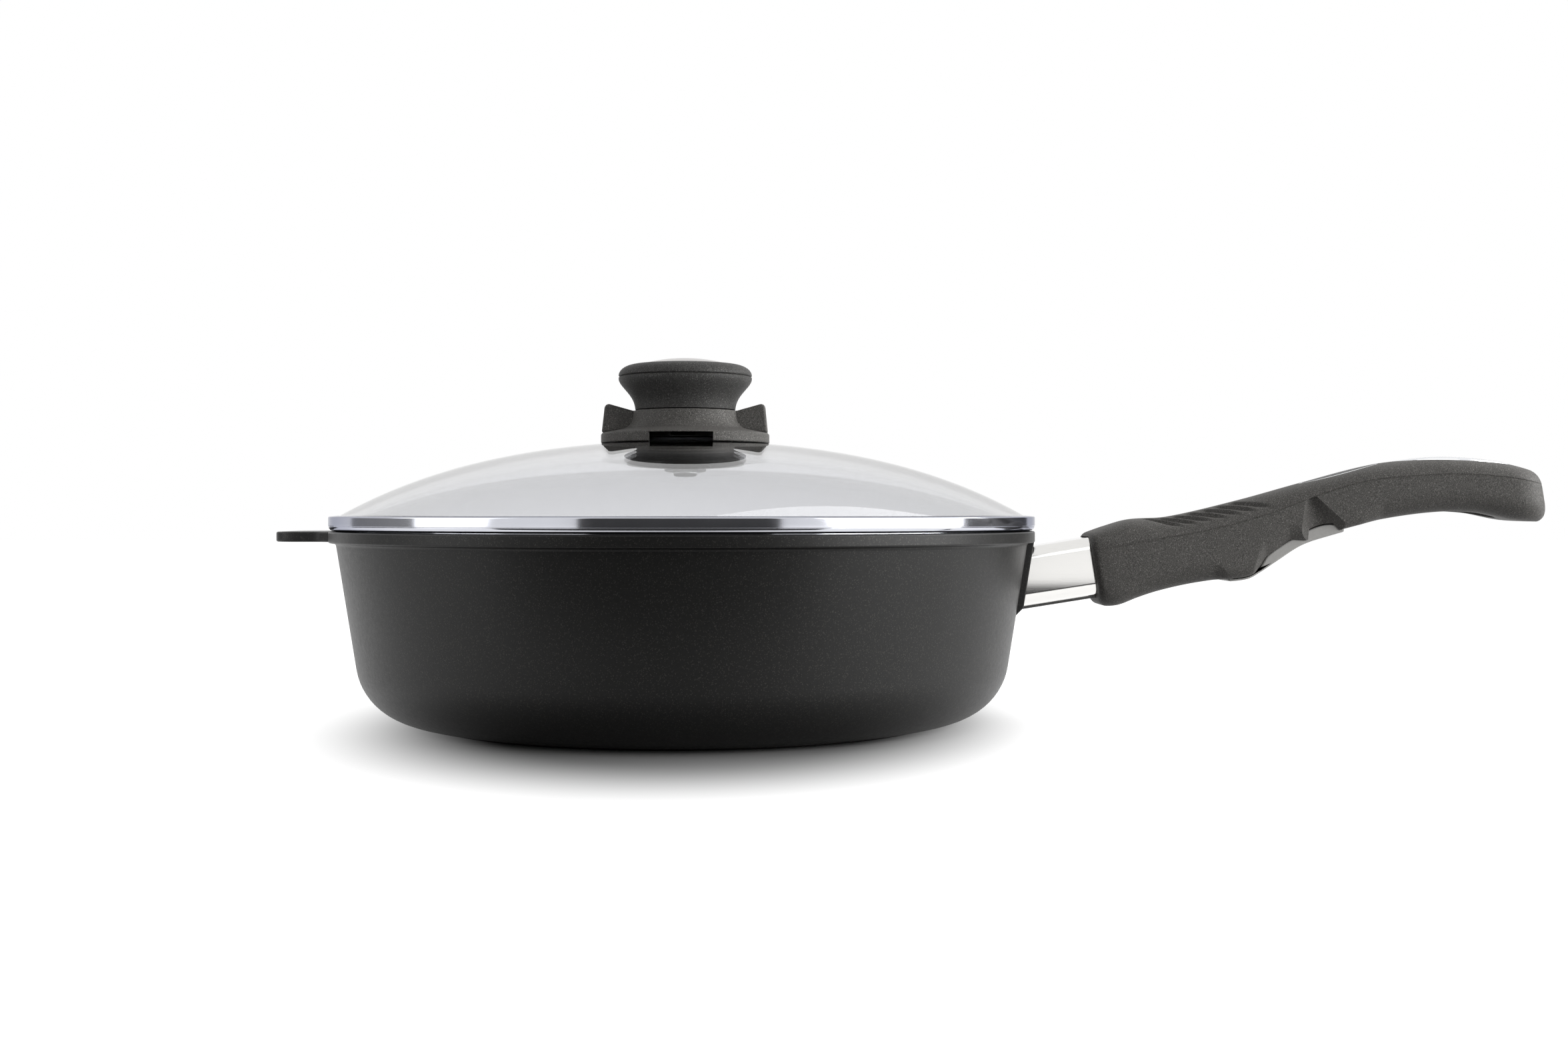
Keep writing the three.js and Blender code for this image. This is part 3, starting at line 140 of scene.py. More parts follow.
def finish(name, constants):
    """A new material, the wire of its object coordinates, and its shader."""
    material = bpy.data.materials.new(name)
    material.use_nodes = True
    shader = material.node_tree.nodes["Principled BSDF"]
    for socket, value in constants.items():
        shader.inputs[socket].default_value = value
    place = Wire(material.node_tree).make("ShaderNodeTexCoord", output="Object")
    return material, place, shader


def mottle(place, size, detail=2.0):
    """Soft random patches of about one size in mm, from 0 to 1."""
    return place.make("ShaderNodeTexNoise", (), {"Vector": place, "Scale": 1 / (size * MM), "Detail": detail})


def flecks(place, size, share):
    """Specks of one size in mm that cover about a share of the surface."""
    cells = place.make("ShaderNodeTexVoronoi", (), {"Vector": place, "Scale": 1 / (size * MM)}, "Color")
    chance = place.make("ShaderNodeSeparateColor", (), {"Color": cells})
    return chance.step(1 - share, 1 - share + 0.01)


def raise_grain(height, shader, depth, strength):
    """Feeds a height field to the shader as relief of a depth in mm."""
    inputs = {"Height": height, "Distance": depth * MM, "Strength": strength}
    height.make("ShaderNodeBump", (), inputs, "Normal").into(shader, "Normal")


def settle(piece):
    """Turns the piece's modifiers into plain mesh."""
    depsgraph = bpy.context.evaluated_depsgraph_get()
    mesh = bpy.data.meshes.new_from_object(piece.evaluated_get(depsgraph))
    piece.modifiers.clear()
    piece.data = mesh


SAME_POINT = 1e-7  # m, within which two points of a mesh are one


def outward(mesh):
    """Merges doubles and turns all faces outwards."""
    shape = bmesh.new()
    shape.from_mesh(mesh)
    bmesh.ops.remove_doubles(shape, verts=shape.verts, dist=SAME_POINT)
    bmesh.ops.recalc_face_normals(shape, faces=shape.faces)
    shape.to_mesh(mesh)
    shape.free()


CREASE_ANGLE = 32  # degrees between two faces, past which their edge stays sharp


def soften(piece, degrees=CREASE_ANGLE):
    """Smooth shading led by the larger faces, with an edge only where faces meet at more than the angle."""
    piece.data.shade_smooth()
    piece.data.set_sharp_from_angle(angle=math.radians(degrees))
    weighted = piece.modifiers.new("soften", "WEIGHTED_NORMAL")
    weighted.keep_sharp = True
    settle(piece)


def add_piece(name, points, faces, edges=()):
    """A new object of points in m, with its faces turned outwards."""
    mesh = bpy.data.meshes.new(name)
    mesh.from_pydata([tuple(point) for point in points], edges, faces)
    piece = bpy.data.objects.new(name, mesh)
    bpy.context.collection.objects.link(piece)
    if faces:
        outward(mesh)
    return piece


def new_tree(name, sockets):
    """A node tree for geometry with named inputs, and the wires of those inputs."""
    tree = bpy.data.node_groups.new(name, "GeometryNodeTree")
    tree.interface.new_socket("Geometry", in_out="INPUT", socket_type="NodeSocketGeometry")
    for label, kind in sockets.items():
        tree.interface.new_socket(label, in_out="INPUT", socket_type="NodeSocket" + kind)
    tree.interface.new_socket("Geometry", in_out="OUTPUT", socket_type="NodeSocketGeometry")
    source = tree.nodes.new("NodeGroupInput")
    return {socket.name: Wire(tree, socket) for socket in source.outputs if socket.name}


def close_tree(geometry, material):
    """Ends a node tree in real mesh with a material."""
    real = geometry.make("GeometryNodeRealizeInstances", (), {"Geometry": geometry})
    coated = geometry.make("GeometryNodeSetMaterial", (), {"Geometry": real, "Material": material})
    out = geometry.tree.nodes.new("NodeGroupOutput")
    geometry.tree.links.new(coated.socket, out.inputs[0])
    return geometry.tree


def grow(piece, tree, sizes):
    """Runs a node tree on the piece and keeps the result as plain mesh."""
    modifier = piece.modifiers.new(tree.name, "NODES")
    modifier.node_group = tree
    for item in tree.interface.items_tree:
        if item.in_out == "INPUT" and item.name in sizes:
            modifier[item.identifier] = sizes[item.name]
    settle(piece)


POLE_MERGE = 1e-6  # m, within which the points on a turned piece's axis are one


def turning_tree():
    """Rounds the corners of a half section and turns it about the upright axis."""
    sockets = {"Ring": "Float", "Segments": "Int", "Corner Steps": "Int", "Crease": "Float"}
    given = new_tree("turning", {**sockets, "Material": "Material"})
    start = given["Geometry"]
    section = start.make("GeometryNodeMeshToCurve", (), {"Mesh": start})
    radius = start.make("GeometryNodeInputNamedAttribute", {"data_type": "FLOAT"}, {"Name": "corner"})
    fillet = {"Curve": section, "Count": given["Corner Steps"], "Radius": radius, "Limit Radius": True}
    section = start.make("GeometryNodeFilletCurve", {"mode": "POLY"}, fillet)
    inward = start.make("ShaderNodeCombineXYZ", (), {"X": 0 - given["Ring"]})
    section = start.make("GeometryNodeSetPosition", (), {"Geometry": section, "Offset": inward})
    circle = {"Resolution": given["Segments"], "Radius": given["Ring"]}
    path = start.make("GeometryNodeCurvePrimitiveCircle", (), circle)
    skin = start.make("GeometryNodeCurveToMesh", (), {"Curve": path, "Profile Curve": section})
    skin = start.make("GeometryNodeMergeByDistance", (), {"Geometry": skin, "Distance": POLE_MERGE})
    bend = start.make("GeometryNodeInputMeshEdgeAngle")
    soft = start.make("FunctionNodeCompare", {"operation": "LESS_THAN"}, {0: bend, 1: given["Crease"]})
    skin = start.make("GeometryNodeSetShadeSmooth", {"domain": "FACE"}, {"Geometry": skin})
    smooth = {"Geometry": skin, "Shade Smooth": soft}
    skin = start.make("GeometryNodeSetShadeSmooth", {"domain": "EDGE"}, smooth)
    return close_tree(skin, given["Material"])


TURNING = turning_tree()
TURNING_RING = 50  # mm, of the circle that a half section is led round
FINE_TURN = 160
KNOB_TURN = 112


def turned(name, corners, material, closed=False, segments=KNOB_TURN, corner_steps=7):
    """A piece turned from a half section of (radius, height) or (radius, height, corner radius) in mm."""
    corners = [(*corner, 0)[:3] for corner in corners]
    count = len(corners)
    edges = [(i, (i + 1) % count) for i in range(count if closed else count - 1)]
    piece = add_piece(name, [(r * MM, -z * MM, 0) for r, z, _ in corners], [], edges)
    radii = piece.data.attributes.new("corner", "FLOAT", "POINT")
    radii.data.foreach_set("value", [radius * MM for _, _, radius in corners])
    sizes = {"Ring": TURNING_RING * MM, "Segments": segments, "Corner Steps": corner_steps}
    grow(piece, TURNING, {**sizes, "Crease": math.radians(CREASE_ANGLE), "Material": material})
    outward(piece.data)
    return piece


def rounded(corners, steps=8):
    """A closed outline of corners (a, b, radius), each turned into an arc."""
    points = []
    for i, (a, b, radius) in enumerate(corners):
        corner = np.array([a, b], float)
        if not radius:
            points.append(corner)
            continue
        back = np.subtract(corners[i - 1][:2], corner)
        ahead = np.subtract(corners[(i + 1) % len(corners)][:2], corner)
        back = back / np.linalg.norm(back)
        ahead = ahead / np.linalg.norm(ahead)
        half = math.acos(np.clip(back @ ahead, -1, 1)) / 2
        middle = (back + ahead) / np.linalg.norm(back + ahead)
        centre = corner + middle * radius / math.sin(half)
        start = corner + back * radius / math.tan(half) - centre
        end = corner + ahead * radius / math.tan(half) - centre
        turn = math.atan2(start[0] * end[1] - start[1] * end[0], start @ end)
        for k in range(steps + 1):
            c, s = math.cos(turn * k / steps), math.sin(turn * k / steps)
            points.append(centre + (c * start[0] - s * start[1], s * start[0] + c * start[1]))
    return points


def prism(name, outline, low, high, axes):
    """An outline in mm pulled from low to high. axes names the outline's two axes and the pull's."""
    order = ["xyz".index(axis) for axis in axes]
    count = len(outline)
    points = np.zeros((2 * count, 3))
    points[:, order[0]] = [a for a, _ in outline] * 2
    points[:, order[1]] = [b for _, b in outline] * 2
    points[:, order[2]] = [low] * count + [high] * count
    sides = [(i, (i + 1) % count, count + (i + 1) % count, count + i) for i in range(count)]
    caps = [tuple(range(count)), tuple(range(count, 2 * count))]
    return add_piece(name, points * MM, sides + caps)


def ease(piece, width, steps=3, angle=40):
    """Rounds the piece's sharp edges by a width in mm."""
    bevel = piece.modifiers.new("ease", "BEVEL")
    bevel.width = width * MM
    bevel.segments = steps
    bevel.limit_method = "ANGLE"
    bevel.angle_limit = math.radians(angle)
    settle(piece)


def combine(piece, others, operation):
    """Joins other pieces to this one, or cuts them out of it, and removes them."""
    for other in others:
        modifier = piece.modifiers.new(operation, "BOOLEAN")
        modifier.operation = operation
        modifier.solver = "EXACT"
        modifier.object = other
        settle(piece)
        bpy.data.objects.remove(other)


def fit(piece, material, slot, body, *nodes):
    """Coats a finished piece and puts it on its body in place of its nodes."""
    piece.data.materials.clear()
    piece.data.materials.append(material)
    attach(piece, body)
    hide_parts(*nodes)


def outer_radius(z):
    """Radius of the wall's outside at a height."""
    return MOUTH_RADIUS + WALL - math.tan(WALL_DRAFT) * (PAN_HEIGHT - z)


def inner_radius(z):
    """Radius of the wall's inside at a height."""
    return MOUTH_RADIUS - math.tan(WALL_DRAFT) * (PAN_HEIGHT - z)


def boss_face(z):
    """Distance of the boss's face from the pan's axis at a height."""
    return outer_radius(z) + BOSS_STAND


def coated_casting():
    """Dark non-stick coating with fine metal flakes over cast aluminium."""
    material, place, shader = finish("coated_casting", {"Specular IOR Level": 0.24})
    flake = flecks(place, 0.26, 0.09)
    tone = mottle(place, 0.8).mix((0.0078, 0.0077, 0.0075, 1), (0.0128, 0.0126, 0.0122, 1))
    flake.mix(tone, (0.042, 0.041, 0.038, 1)).into(shader, "Base Color")
    (0.34 + 0.12 * mottle(place, 1.6)).into(shader, "Roughness")
    (flake * 0.5).into(shader, "Metallic")
    raise_grain(mottle(place, 0.5), shader, 0.02, 0.5)
    return material


LIP_RADIUS = MOUTH_RADIUS + WALL + LIP_OVERHANG
LIP_BOTTOM = PAN_HEIGHT - LIP_HEIGHT
HANDLE_ROOT_X = boss_face(HANDLE_ROOT_HEIGHT)
CASTING = coated_casting()

corner_radius = outer_radius(FOOT_HEIGHT)
foot_radius = corner_radius - BASE_CORNER * math.tan((math.pi / 2 - WALL_DRAFT) / 2) - FOOT_INSET
pan_section = [
    (0, 0),
    (foot_radius, 0, LIP_EDGE),
    (foot_radius, FOOT_HEIGHT),
    (corner_radius, FOOT_HEIGHT, BASE_CORNER),
    (outer_radius(LIP_BOTTOM), LIP_BOTTOM, LIP_FILLET),
    (LIP_RADIUS, LIP_BOTTOM, LIP_EDGE),
    (LIP_RADIUS, PAN_HEIGHT, LIP_EDGE),
    (MOUTH_RADIUS, PAN_HEIGHT, LIP_EDGE),
    (inner_radius(FLOOR), FLOOR, INNER_CORNER),
    (0, FLOOR),
]
casting = turned("casting", pan_section, CASTING, segments=FINE_TURN, corner_steps=14)

tab_root = -(MOUTH_RADIUS + WALL / 2)
tab_neck = -(LIP_RADIUS + TAB_ROOT_FILLET / 2)
tab_end = -(LIP_RADIUS + TAB_REACH)
half_tab = TAB_WIDTH / 2
tab_outline = [
    (tab_root, -half_tab - TAB_ROOT_FILLET, 0),
    (tab_neck, -half_tab, TAB_ROOT_FILLET),
    (tab_end, -half_tab, TAB_CORNER),
    (tab_end, half_tab, TAB_CORNER),
    (tab_neck, half_tab, TAB_ROOT_FILLET),
    (tab_root, half_tab + TAB_ROOT_FILLET, 0),
]
tab = prism("tab", rounded(tab_outline), LIP_BOTTOM + TAB_INSET, PAN_HEIGHT - TAB_INSET, "xyz")
ease(tab, LIP_EDGE)

boss_top = LIP_BOTTOM + LIP_HEIGHT / 2
boss_edge = HANDLE_ROOT_HEIGHT - BOSS_DROP
boss_foot = boss_edge - BOSS_CHAMFER
boss_outline = [
    (outer_radius(boss_foot) - WALL / 2, boss_foot),
    (boss_face(boss_edge) - BOSS_CHAMFER, boss_foot),
    (boss_face(boss_edge), boss_edge),
    (boss_face(boss_top), boss_top),
    (outer_radius(boss_top) - WALL / 2, boss_top),
]
boss = prism("boss", boss_outline, -BOSS_WIDTH / 2, BOSS_WIDTH / 2, "xzy")
ease(boss, LIP_EDGE)
combine(casting, [tab, boss], "UNION")

# The boss has a pocket for the handle's tongue, square to the handle's slope.
pull = next(joint for joint in frame["joints"] if joint["name"] == "handle_pull")
HANDLE_TILT = math.atan2(pull["axis"][2], pull["axis"][0])
HANDLE_FRAME = Matrix.Translation((HANDLE_ROOT_X * MM, 0, HANDLE_ROOT_HEIGHT * MM))
HANDLE_FRAME = HANDLE_FRAME @ Matrix.Rotation(-HANDLE_TILT, 4, "Y")
TONGUE_WIDTH = 12
TONGUE_HEIGHT = 6
TONGUE_REACH = 2.6


def box_outline(width, height, corner, steps=8):
    """A rounded rectangle about the middle."""
    w, h = width / 2, height / 2
    return rounded([(-w, -h, corner), (w, -h, corner), (w, h, corner), (-w, h, corner)], steps)


pocket_outline = box_outline(TONGUE_WIDTH + 2 * SEAM, TONGUE_HEIGHT + 2 * SEAM, 0)
pocket_depth = TONGUE_REACH + SEAM
pocket = prism("pocket", pocket_outline, -pocket_depth, 2 * pocket_depth, "yzx")
pocket.data.transform(HANDLE_FRAME)
combine(casting, [pocket], "DIFFERENCE")
soften(casting)
fit(casting, CASTING, "coated_casting", "pan", "pan_body")

# Ferrule
# A rectangular tube of satin stainless sheet with rounded corners, between the boss and the handle's collar.
# A cast plug inside its front end and a long bolt tie it to the handle.
FERRULE_WIDTH = 22
FERRULE_HEIGHT = 20.8
FERRULE_CORNER = 4.5
FERRULE_WALL = 1
FERRULE_REACH = 24.8
FERRULE_SEAT = 7.2
TUBE_CORNER_STEPS = 12
TUBE_EDGE = 0.2
HAIR_STRETCH = 60  # length of a brushed line, in widths
HAIR_SHADE = 0.93  # share of the metal's colour in the darker lines


def brushed(name, colour, roughness, lines, along):
    """Metal with fine lines along one axis of the object."""
    material, place, shader = finish(name, {"Metallic": 1.0})
    stretch = [1 / (lines * MM)] * 3
    stretch["xyz".index(along)] = 1 / (HAIR_STRETCH * lines * MM)
    grain = place.make("ShaderNodeVectorMath", {"operation": "MULTIPLY"}, {0: place, 1: stretch})
    hairs = place.make("ShaderNodeTexNoise", (), {"Vector": grain, "Scale": 1.0, "Detail": 3.0})
    dull = tuple(part * HAIR_SHADE for part in colour[:3]) + (1,)
    hairs.mix(dull, colour).into(shader, "Base Color")
    (roughness * 0.75 + roughness * 0.5 * hairs).into(shader, "Roughness")
    raise_grain(hairs, shader, 0.004, 0.35)
    return material


STAINLESS = brushed("satin_stainless", (0.83, 0.82, 0.8, 1), 0.13, 0.35, "x")
ZINC = brushed("zinc_steel", (0.55, 0.55, 0.54, 1), 0.38, 0.5, "z")
BOSS_SLOPE = math.tan(WALL_DRAFT + HANDLE_TILT)


def tube_ring(outline, end):
    """The outline's points at the tube's front, cut along the boss's face, or at a distance from it."""
    front = SEAM / math.cos(WALL_DRAFT + HANDLE_TILT)
    return [(w * BOSS_SLOPE + front if end is None else end, y, w) for y, w in outline]


def ring_skin(rings, closed):
    """Faces between rings of equal count, and from the last back to the first if closed."""
    count = len(rings[0])
    faces = []
    for ring in range(len(rings) if closed else len(rings) - 1):
        a, b = ring * count, (ring + 1) % len(rings) * count
        faces += [(a + i, a + (i + 1) % count, b + (i + 1) % count, b + i) for i in range(count)]
    return faces


def ring_piece(name, rings):
    """A skin that leads through rings of points in mm and back to the first."""
    return add_piece(name, np.concatenate(rings) * MM, ring_skin(rings, True))


def fit_on_slope(piece, material, slot, body, node, degrees=CREASE_ANGLE):
    """Takes a piece that was made along the handle's axis to the handle's slope and fits it there."""
    piece.data.transform(HANDLE_FRAME)
    soften(piece, degrees)
    fit(piece, material, slot, body, node)


tube_outer = box_outline(FERRULE_WIDTH, FERRULE_HEIGHT, FERRULE_CORNER, TUBE_CORNER_STEPS)
bore_width, bore_height = FERRULE_WIDTH - 2 * FERRULE_WALL, FERRULE_HEIGHT - 2 * FERRULE_WALL
tube_inner = box_outline(bore_width, bore_height, FERRULE_CORNER - FERRULE_WALL, TUBE_CORNER_STEPS)
tube_end = FERRULE_REACH + FERRULE_SEAT
tube_rings = [tube_ring(tube_outer, None), tube_ring(tube_outer, tube_end)]
tube_rings += [tube_ring(tube_inner, tube_end), tube_ring(tube_inner, None)]
tube = ring_piece("tube", tube_rings)
ease(tube, TUBE_EDGE, steps=2)
fit_on_slope(tube, STAINLESS, "satin_stainless", "handle", "ferrule")

# The plug, the bolt and the slide keep their plain shapes.
for name, metal in {"ferrule_plug": ZINC, "tie_bolt": ZINC, "latch_slide": STAINLESS}.items():
    frame["nodes"][name].material_slots[0].material = metal

# Handle shells
# Two mouldings of speckled black-grey phenolic resin that meet at a fine line along the side.
# The lower one holds the ferrule, the lever and the slide; the upper one has the thumb ribs and the badge.
HANDLE_LENGTH = 167.2
COLLAR_EDGE = 2
COLLAR_UNDERSIDE = 0.7  # share of the collar's edge that the underside has
END_EDGE = 4
END_PLAN_RADIUS = 14
COLLAR_TURN = 15  # degrees between sections on the collar's edge
END_TURN = 6  # degrees between sections on the rounded end
LOWER_CORNER = 8
LEVER_CORNER = 3.6
STRIP_CORNER = 10.5
# Stretches over which the lower edge's radius changes, at the lever's two ends and the strip's.
CORNER_CHANGES = [(-5, -1), (-2, 3), (-4, 2), (6, 14)]
WIDEST_CORNER = 0.9  # share of the half width
TALLEST_CORNER = 0.7  # share of the side's height
SIDE_STEPS = 16
CORNER_STEPS = 12
FLOOR_STEPS = 6
BODY_SEAM_STEPS = 5
COVER_SEAM_STEPS = 4
CROWN_STEPS = 60
COVER_FULLNESS = 2.3
COLLAR_FULLNESS = 1.3
COLLAR_FADE = 36
SEAM_GROOVE = 0.3
SEAM_TUCK = 2.5  # depth below the parting line at which the cover's flank would be upright
SHELL_PITCH = 0.8
TOP_FRONT = [(0, 1.3), (8.2, 2.9), (17.2, 4), (31.2, 2.8), (57.2, 4.6), (80.2, 7.2)]
TOP_REAR = [(64.6, 9.6), (53.2, 9.9), (34.6, 8.6), (13.6, 3.4), (0, -2.2)]
SEAM_FRONT = [(0, -4.6), (25.2, -4.4), (43.2, -3.8), (63.2, -1.7), (83.2, 2.3)]
SEAM_REAR = [(65.6, 4.6), (45.6, 3.4), (30.6, 1.4), (15.6, -2.2), (0, -7.4)]
BOTTOM_FRONT = [
    (0, -3.6), (2.6, -4.7), (7.2, -4.9), (13.8, -3.5), (21.2, -2.3), (32.2, -1.5), (43.2, -1.5),
    (54.2, -1.9), (59.2, -0.2), (65.2, 2.6), (75.2, 7), (85.2, 8.8),
]
BOTTOM_REAR = [(63.2, 10.6), (41.6, 10.3), (27, 7.8), (13.2, 2.9), (0, 0)]
SIDE_FRONT = [(0, 4.7), (6.2, 5), (35.2, 4), (58.2, 3.3), (85.2, 3)]
SIDE_REAR = [(45.6, 4), (22.6, 4.5), (0, 4.2)]
COLLAR = FERRULE_REACH
HANDLE_END = COLLAR + HANDLE_LENGTH
HALF_FERRULE = FERRULE_HEIGHT / 2


def smooth_line(points):
    """A smooth height line through chosen (distance, height) points."""

    def slope(i):
        x0, y0 = points[max(i - 1, 0)]
        x1, y1 = points[min(i + 1, len(points) - 1)]
        return (y1 - y0) / (x1 - x0)

    def height(x):
        i = 0
        while i < len(points) - 2 and x > points[i + 1][0]:
            i += 1
        x0, y0 = points[i]
        x1, y1 = points[i + 1]
        span, rise = x1 - x0, y1 - y0
        t = (x - x0) / span
        bend = slope(i) * span - rise
        unbend = rise - slope(i + 1) * span
        return y0 + rise * t + t * (1 - t) * (bend * (1 - t) + unbend * t)

    return height


def handle_line(front, rear, level):
    """A line along the handle, from distances to its collar and to its far end."""
    points = [(COLLAR + distance, level + height) for distance, height in front]
    return smooth_line(points + [(HANDLE_END - distance, level + height) for distance, height in rear])


top_line = handle_line(TOP_FRONT, TOP_REAR, HALF_FERRULE)
seam_line = handle_line(SEAM_FRONT, SEAM_REAR, HALF_FERRULE)
bottom_line = handle_line(BOTTOM_FRONT, BOTTOM_REAR, -HALF_FERRULE)
width_line = handle_line(SIDE_FRONT, SIDE_REAR, FERRULE_WIDTH / 2)


def drawn_in(distance, radius):
    """How far a rounded end draws the outline in at a distance from that end."""
    past = max(radius - distance, 0)
    return radius - math.sqrt(max(radius * radius - past * past, 0))


def handle_at(u):
    """Half width, top, seam and bottom of the handle at a station along its axis."""
    collar_edge = drawn_in(u - COLLAR, COLLAR_EDGE)
    end_edge = drawn_in(HANDLE_END - u, END_EDGE)
    half = width_line(u) - collar_edge - drawn_in(HANDLE_END - u, END_PLAN_RADIUS)
    top = top_line(u) - collar_edge - end_edge
    return half, top, seam_line(u), bottom_line(u) + COLLAR_UNDERSIDE * collar_edge + end_edge


def stations(pitch):
    """Places along the handle, closer together on its rounded ends."""
    start = COLLAR + COLLAR_EDGE
    end = HANDLE_END - END_PLAN_RADIUS
    count = math.ceil((end - start) / pitch)
    collar_turns = range(0, 90, COLLAR_TURN)
    collar = [COLLAR + COLLAR_EDGE * (1 - math.cos(math.radians(turn))) for turn in collar_turns]
    middle = [start + (end - start) * i / count for i in range(count)]
    last = [end + END_PLAN_RADIUS * math.sin(math.radians(turn)) for turn in range(0, 91, END_TURN)]
    return collar + middle + last


def lower_corner(u):
    """Radius of the lower edge: tight at both ends of the lever, and full beside the strip between them."""
    marks = (LEVER_FRONT, LEVER_FRONT + LEVER_FRONT_LENGTH, LEVER_END - LEVER_TAIL_LENGTH, LEVER_END)
    places = [mark + shift for mark, change in zip(marks, CORNER_CHANGES) for shift in change]
    tight, full = LEVER_CORNER, STRIP_CORNER
    return np.interp(u, places, (LOWER_CORNER, tight, tight, full, full, tight, tight, LOWER_CORNER))


def seam_row(half, seam, steps):
    """Points across the flat seam, between its two edges."""
    return [((half - SEAM_GROOVE) * (k / steps - 1), seam) for k in range(1, 2 * steps)]


def body_section(u):
    """Flat seam, straight sides and a full lower edge."""
    half, _, seam, bottom = handle_at(u)
    corner = min(lower_corner(u), half * WIDEST_CORNER, (seam - bottom) * TALLEST_CORNER)
    side_top = seam - SEAM_GROOVE
    side = [(half - SEAM_GROOVE, seam)]
    side += [(half, side_top + (bottom + corner - side_top) * k / SIDE_STEPS) for k in range(SIDE_STEPS)]
    turns = [math.pi / 2 * k / CORNER_STEPS for k in range(CORNER_STEPS + 1)]
    arc = [(half - corner * (1 - math.cos(t)), bottom + corner * (1 - math.sin(t))) for t in turns]
    floor = [((half - corner) * (1 - k / FLOOR_STEPS), bottom) for k in range(1, FLOOR_STEPS)]
    right = side + arc + floor
    left = [(-y, w) for y, w in reversed(right)]
    seam_points = seam_row(half, seam, BODY_SEAM_STEPS)
    return [(u, y, w) for y, w in right + [(0, bottom)] + left + seam_points]


def fullness(u):
    """Exponent of the crown's section: fuller at the collar, where the top is flatter."""
    t = min((u - COLLAR) / COLLAR_FADE, 1)
    return COVER_FULLNESS + COLLAR_FULLNESS * (1 - t * t * (3 - 2 * t))


def crown_arc(u, lift=0.0):
    """Half width, foot, height, exponent and first angle of the rounded top, which leans in from the seam."""
    half, top, seam, _ = handle_at(u)
    tuck = min(SEAM_TUCK, (top - seam) / 4)
    rise = top + lift - seam + tuck
    start = math.asin((tuck / rise) ** (fullness(u) / 2))
    return half / math.cos(start) ** (2 / fullness(u)), seam - tuck, rise, fullness(u), start


def crown(u, y, lift):
    """Height of the cover's rounded top, raised by a lift, beside the handle's middle."""
    reach, foot, rise, power, _ = crown_arc(u, lift)
    share = min(abs(y) / max(reach, 1e-6), 1)
    return foot + rise * (1 - share ** power) ** (1 / power)


def cover_section(u):
    """Flat seam below and a full, rounded crown."""
    half, _, seam, _ = handle_at(u)
    reach, foot, rise, power, start = crown_arc(u)
    section = []
    for k in range(CROWN_STEPS + 1):
        turn = start + (math.pi - 2 * start) * k / CROWN_STEPS
        across = math.copysign(abs(math.cos(turn)) ** (2 / power), math.cos(turn))
        section.append((u, reach * across, foot + rise * math.sin(turn) ** (2 / power)))
    section[0] = (u, half - SEAM_GROOVE, seam)
    section[-1] = (u, SEAM_GROOVE - half, seam)
    return section + [(u, y, w) for y, w in seam_row(half, seam, COVER_SEAM_STEPS)]


def loft(name, sections):
    """A closed skin through sections of equal point counts."""
    count = len(sections[0])
    last = (len(sections) - 1) * count
    caps = [tuple(range(count)), tuple(range(last, last + count))]
    return add_piece(name, np.concatenate(sections) * MM, ring_skin(sections, False) + caps)


def speckled_moulding(name, dark, light, spark):
    """Phenolic resin with a fine mineral speckle and a lightly textured mould skin."""
    material, place, shader = finish(name, {"Specular IOR Level": 0.15})
    tone = mottle(place, 0.34, 3.0).step(0.32, 0.68).mix(dark, light)
    flecks(place, 0.22, 0.05).mix(tone, spark).into(shader, "Base Color")
    (0.5 + 0.14 * mottle(place, 0.9)).into(shader, "Roughness")
    raise_grain(mottle(place, 0.3, 3.0), shader, 0.04, 0.6)
    return material


RESIN = speckled_moulding(
    "dark_moulding", (0.048, 0.0465, 0.044, 1), (0.115, 0.111, 0.105, 1), (0.2, 0.193, 0.183, 1)
)

# Thumb ribs: seven crescents pressed into the crown, their ends swept back along the sides.
RIB_FIRST = 42.0
RIB_PITCH = 5.4
RIB_COUNT = 7
RIB_DEPTH = 1.1
RIB_SWEEP = 13
RIB_REACH = 13.9
RIB_DEEPEST = 0.72  # share of the pitch at which a groove is deepest
RIB_ENDS = (0.62, 1.0)  # shares of the squared reach between which a groove runs out at the sides
RIB_MIDDLE = (0.02, 0.15)  # shares of the squared reach between which it sets in beside the bare middle
RIB_FACING = (0.02, 0.12)  # upward lean of the surface between which it sets in above the flank


def rib_tree():
    """Presses a row of swept grooves into a handle that lies along X."""
    sizes = ("First", "Pitch", "Count", "Depth", "Sweep", "Reach")
    given = new_tree("thumb_ribs", {**{size: "Float" for size in sizes}, "Material": "Material"})
    start = given["Geometry"]
    position = start.make("GeometryNodeInputPosition")
    normal = start.make("GeometryNodeInputNormal")
    across = position.axis("Y") / given["Reach"]
    across = across * across
    row = (position.axis("X") - given["First"] - given["Sweep"] * across) / given["Pitch"]
    phase = row.math("FRACT", row)
    groove = phase.step(0.0, RIB_DEEPEST) - phase.step(RIB_DEEPEST, 1.0)
    inside = row.math("GREATER_THAN", row, 0.0) * row.math("LESS_THAN", row, given["Count"])
    fade = across.step(*RIB_ENDS, 1.0, 0.0) * across.step(*RIB_MIDDLE) * normal.axis("Z").step(*RIB_FACING)
    press = 0 - given["Depth"] * groove * inside * fade
    offset = start.make("ShaderNodeVectorMath", {"operation": "SCALE"}, {0: normal, "Scale": press})
    pressed = start.make("GeometryNodeSetPosition", (), {"Geometry": start, "Offset": offset})
    return close_tree(pressed, given["Material"])


def in_metres(sizes):
    """Sizes by name, from mm to m."""
    return {name: value * MM for name, value in sizes.items()}


